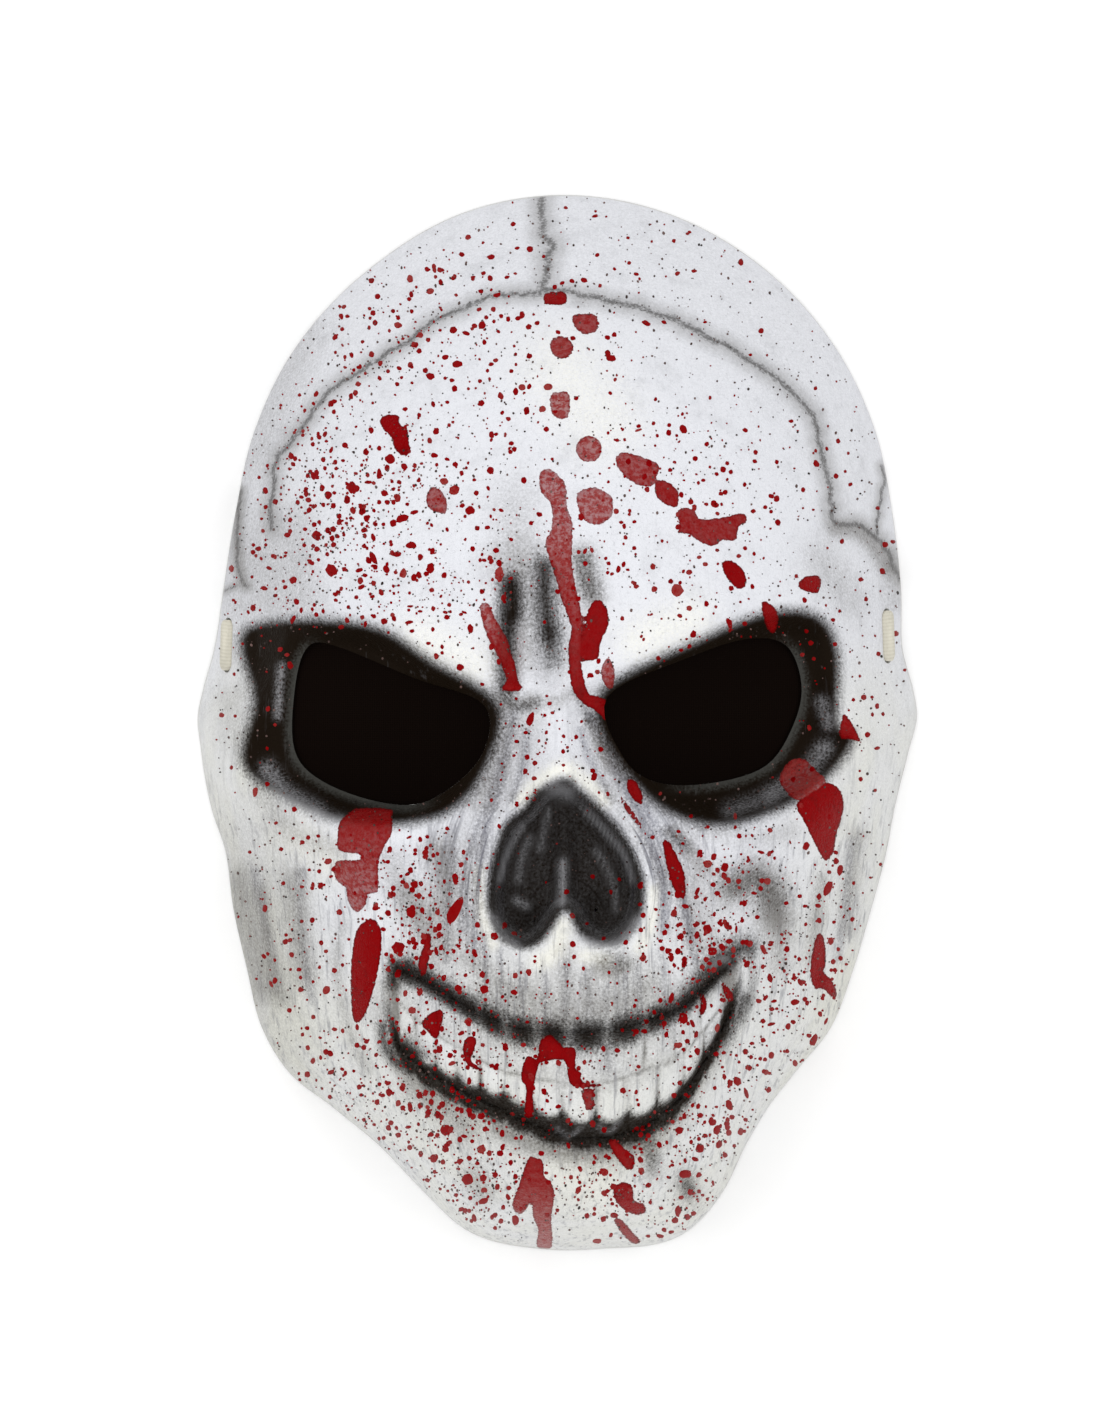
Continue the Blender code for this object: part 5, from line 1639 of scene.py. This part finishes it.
# In the slot: how far out of the face the band stands, and how thick it is. Behind: how far it comes
# to the middle, and how high it lies.
STRAP_IN_SLOT = (
    (1.0, STRAP_FOLD),
    (-1.0, STRAP_FOLD),
    (-WALL - 0.8, STRAP_FOLD),
    (-WALL - 2.6, STRAP_THICK + 0.6),
    (-STRAP_TUCK, STRAP_THICK),
)
STRAP_BEHIND = ((2.5, 6.5), (5.5, 3.0), (10.0, 1.7), (16.0, 1.3))
RIB_WIDE = 0.9
PICK_LONG = 0.7
CREAM = (0.66, 0.63, 0.53)
CREAM_DARK = (0.61, 0.58, 0.48)


def elastic_material():
    made, tree, shader, place = new_material("cream elastic")
    across = layer(tree, "across")
    along = layer(tree, "along")
    rib = maths(tree, "SINE", maths(tree, "MULTIPLY", across, 2 * math.pi / RIB_WIDE))
    pick = maths(tree, "SINE", maths(tree, "MULTIPLY", along, 2 * math.pi / PICK_LONG))
    weave = maths(tree, "MULTIPLY_ADD", maths(tree, "MULTIPLY", rib, pick), 0.4, rib)
    tone = smooth_step(tree, weave, -1.2, 0.6)
    worn = noise(tree, place, 0.15, 3.0, 0.6)
    colour = mix_colour(tree, tone, CREAM_DARK, CREAM)
    colour = mix_colour(tree, smooth_step(tree, worn, 0.5, 0.8, 0.0, 0.35), colour, CREAM_DARK)
    feed(tree, shader.inputs["Base Color"], colour)
    shader.inputs["Roughness"].default_value = 0.85
    give_relief(tree, shader, weave, 0.35, 0.08)
    return made


def strap_stations():
    """The strap's line from the left slot to the right one: middle, width direction, thickness."""
    ends = {}
    for side in SLOTS:
        middle, normal, along = slot_frame(side)
        inward = 1 if side == "left" else -1
        ends[side] = [(middle + normal * out * MM, along, thick) for out, thick in STRAP_IN_SLOT]
        tuck = middle - normal * STRAP_TUCK * MM
        for to_middle, height in STRAP_BEHIND:
            place = Vector((tuck.x + inward * to_middle * MM, middle.y, height * MM))
            ends[side].append((place, along, STRAP_THICK))
    left, right = ends["left"][-1], ends["right"][-1]
    across = []
    for step in range(1, STRAP_SPANS):
        share = step / STRAP_SPANS
        along = left[1].lerp(right[1], share).normalized()
        across.append((left[0].lerp(right[0], share), along, STRAP_THICK))
    return ends["left"] + across + ends["right"][::-1]


def strap_band(finish):
    """A loft of rounded flat sections along the strap's line."""
    stations = strap_stations()
    vertices, across, lengths = [], [], []
    run_length = 0.0
    for i, (middle, along, thick) in enumerate(stations):
        before = stations[max(i - 1, 0)][0]
        after = stations[min(i + 1, len(stations) - 1)][0]
        run = (after - before).normalized()
        width = (along - run * along.dot(run)).normalized()
        face = run.cross(width)
        run_length += (middle - stations[max(i - 1, 0)][0]).length / MM
        for a, b in stadium(STRAP_WIDE, thick, STRAP_SIDES):
            vertices.append(middle + face * a * MM + width * b * MM)
            across.append(b)
            lengths.append(run_length)
    ring = list(range(STRAP_SIDES))
    last = [(len(stations) - 1) * STRAP_SIDES + i for i in ring]
    faces = ring_faces(len(stations), STRAP_SIDES) + [ring[::-1], last]
    band = make_object("elastic_band", vertices, faces)
    write_layer(band.data, "across", across)
    write_layer(band.data, "along", lengths)
    band.data.materials.append(finish)
    band.data.shade_smooth()
    return band


band = strap_band(elastic_material())
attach(band, "root")
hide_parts("head_strap")

# The mask lies on a plain white table top. Four large soft lamps stand round it, one on each side, the
# strongest at the crown and the chin, and the white room round them fills the shadows.
FLOOR_SIZE = 6.0
FLOOR_PARTS = 8
FLOOR_UNDER = 0.0003
FLOOR_WHITE = (0.99, 0.99, 0.99, 1.0)
ROOM_WHITE = (1.0, 1.0, 1.0, 1.0)
ROOM_LIGHT = 0.75
LAMP_SIZE = 1.6
LAMPS = (
    ("crown box", (-0.3, 1.7, 1.9), 14.0),
    ("left box", (-1.8, 0.1, 1.8), 11.0),
    ("right box", (1.8, 0.1, 1.8), 10.0),
    ("chin box", (0.2, -1.8, 1.8), 13.0),
)

bpy.ops.mesh.primitive_grid_add(
    x_subdivisions=FLOOR_PARTS, y_subdivisions=FLOOR_PARTS, size=FLOOR_SIZE, location=(0, 0, -FLOOR_UNDER)
)
floor = bpy.context.object
floor.name = "table"
floor_finish, _, floor_shader, _ = new_material("table top")
floor_shader.inputs["Base Color"].default_value = FLOOR_WHITE
floor_shader.inputs["Roughness"].default_value = 0.9
floor.data.materials.append(floor_finish)

for name, place, power in LAMPS:
    lamp = place_new(name, bpy.data.lights.new(name, "AREA"))
    lamp.data.size = LAMP_SIZE
    lamp.data.energy = power
    lamp.location = place
    lamp.rotation_euler = (-Vector(place)).to_track_quat("-Z", "Y").to_euler()

world = bpy.data.worlds.new("studio")
bpy.context.scene.world = world
world.use_nodes = True
world.node_tree.nodes["Background"].inputs[0].default_value = ROOM_WHITE
world.node_tree.nodes["Background"].inputs[1].default_value = ROOM_LIGHT
bpy.context.scene.view_settings.view_transform = "Standard"
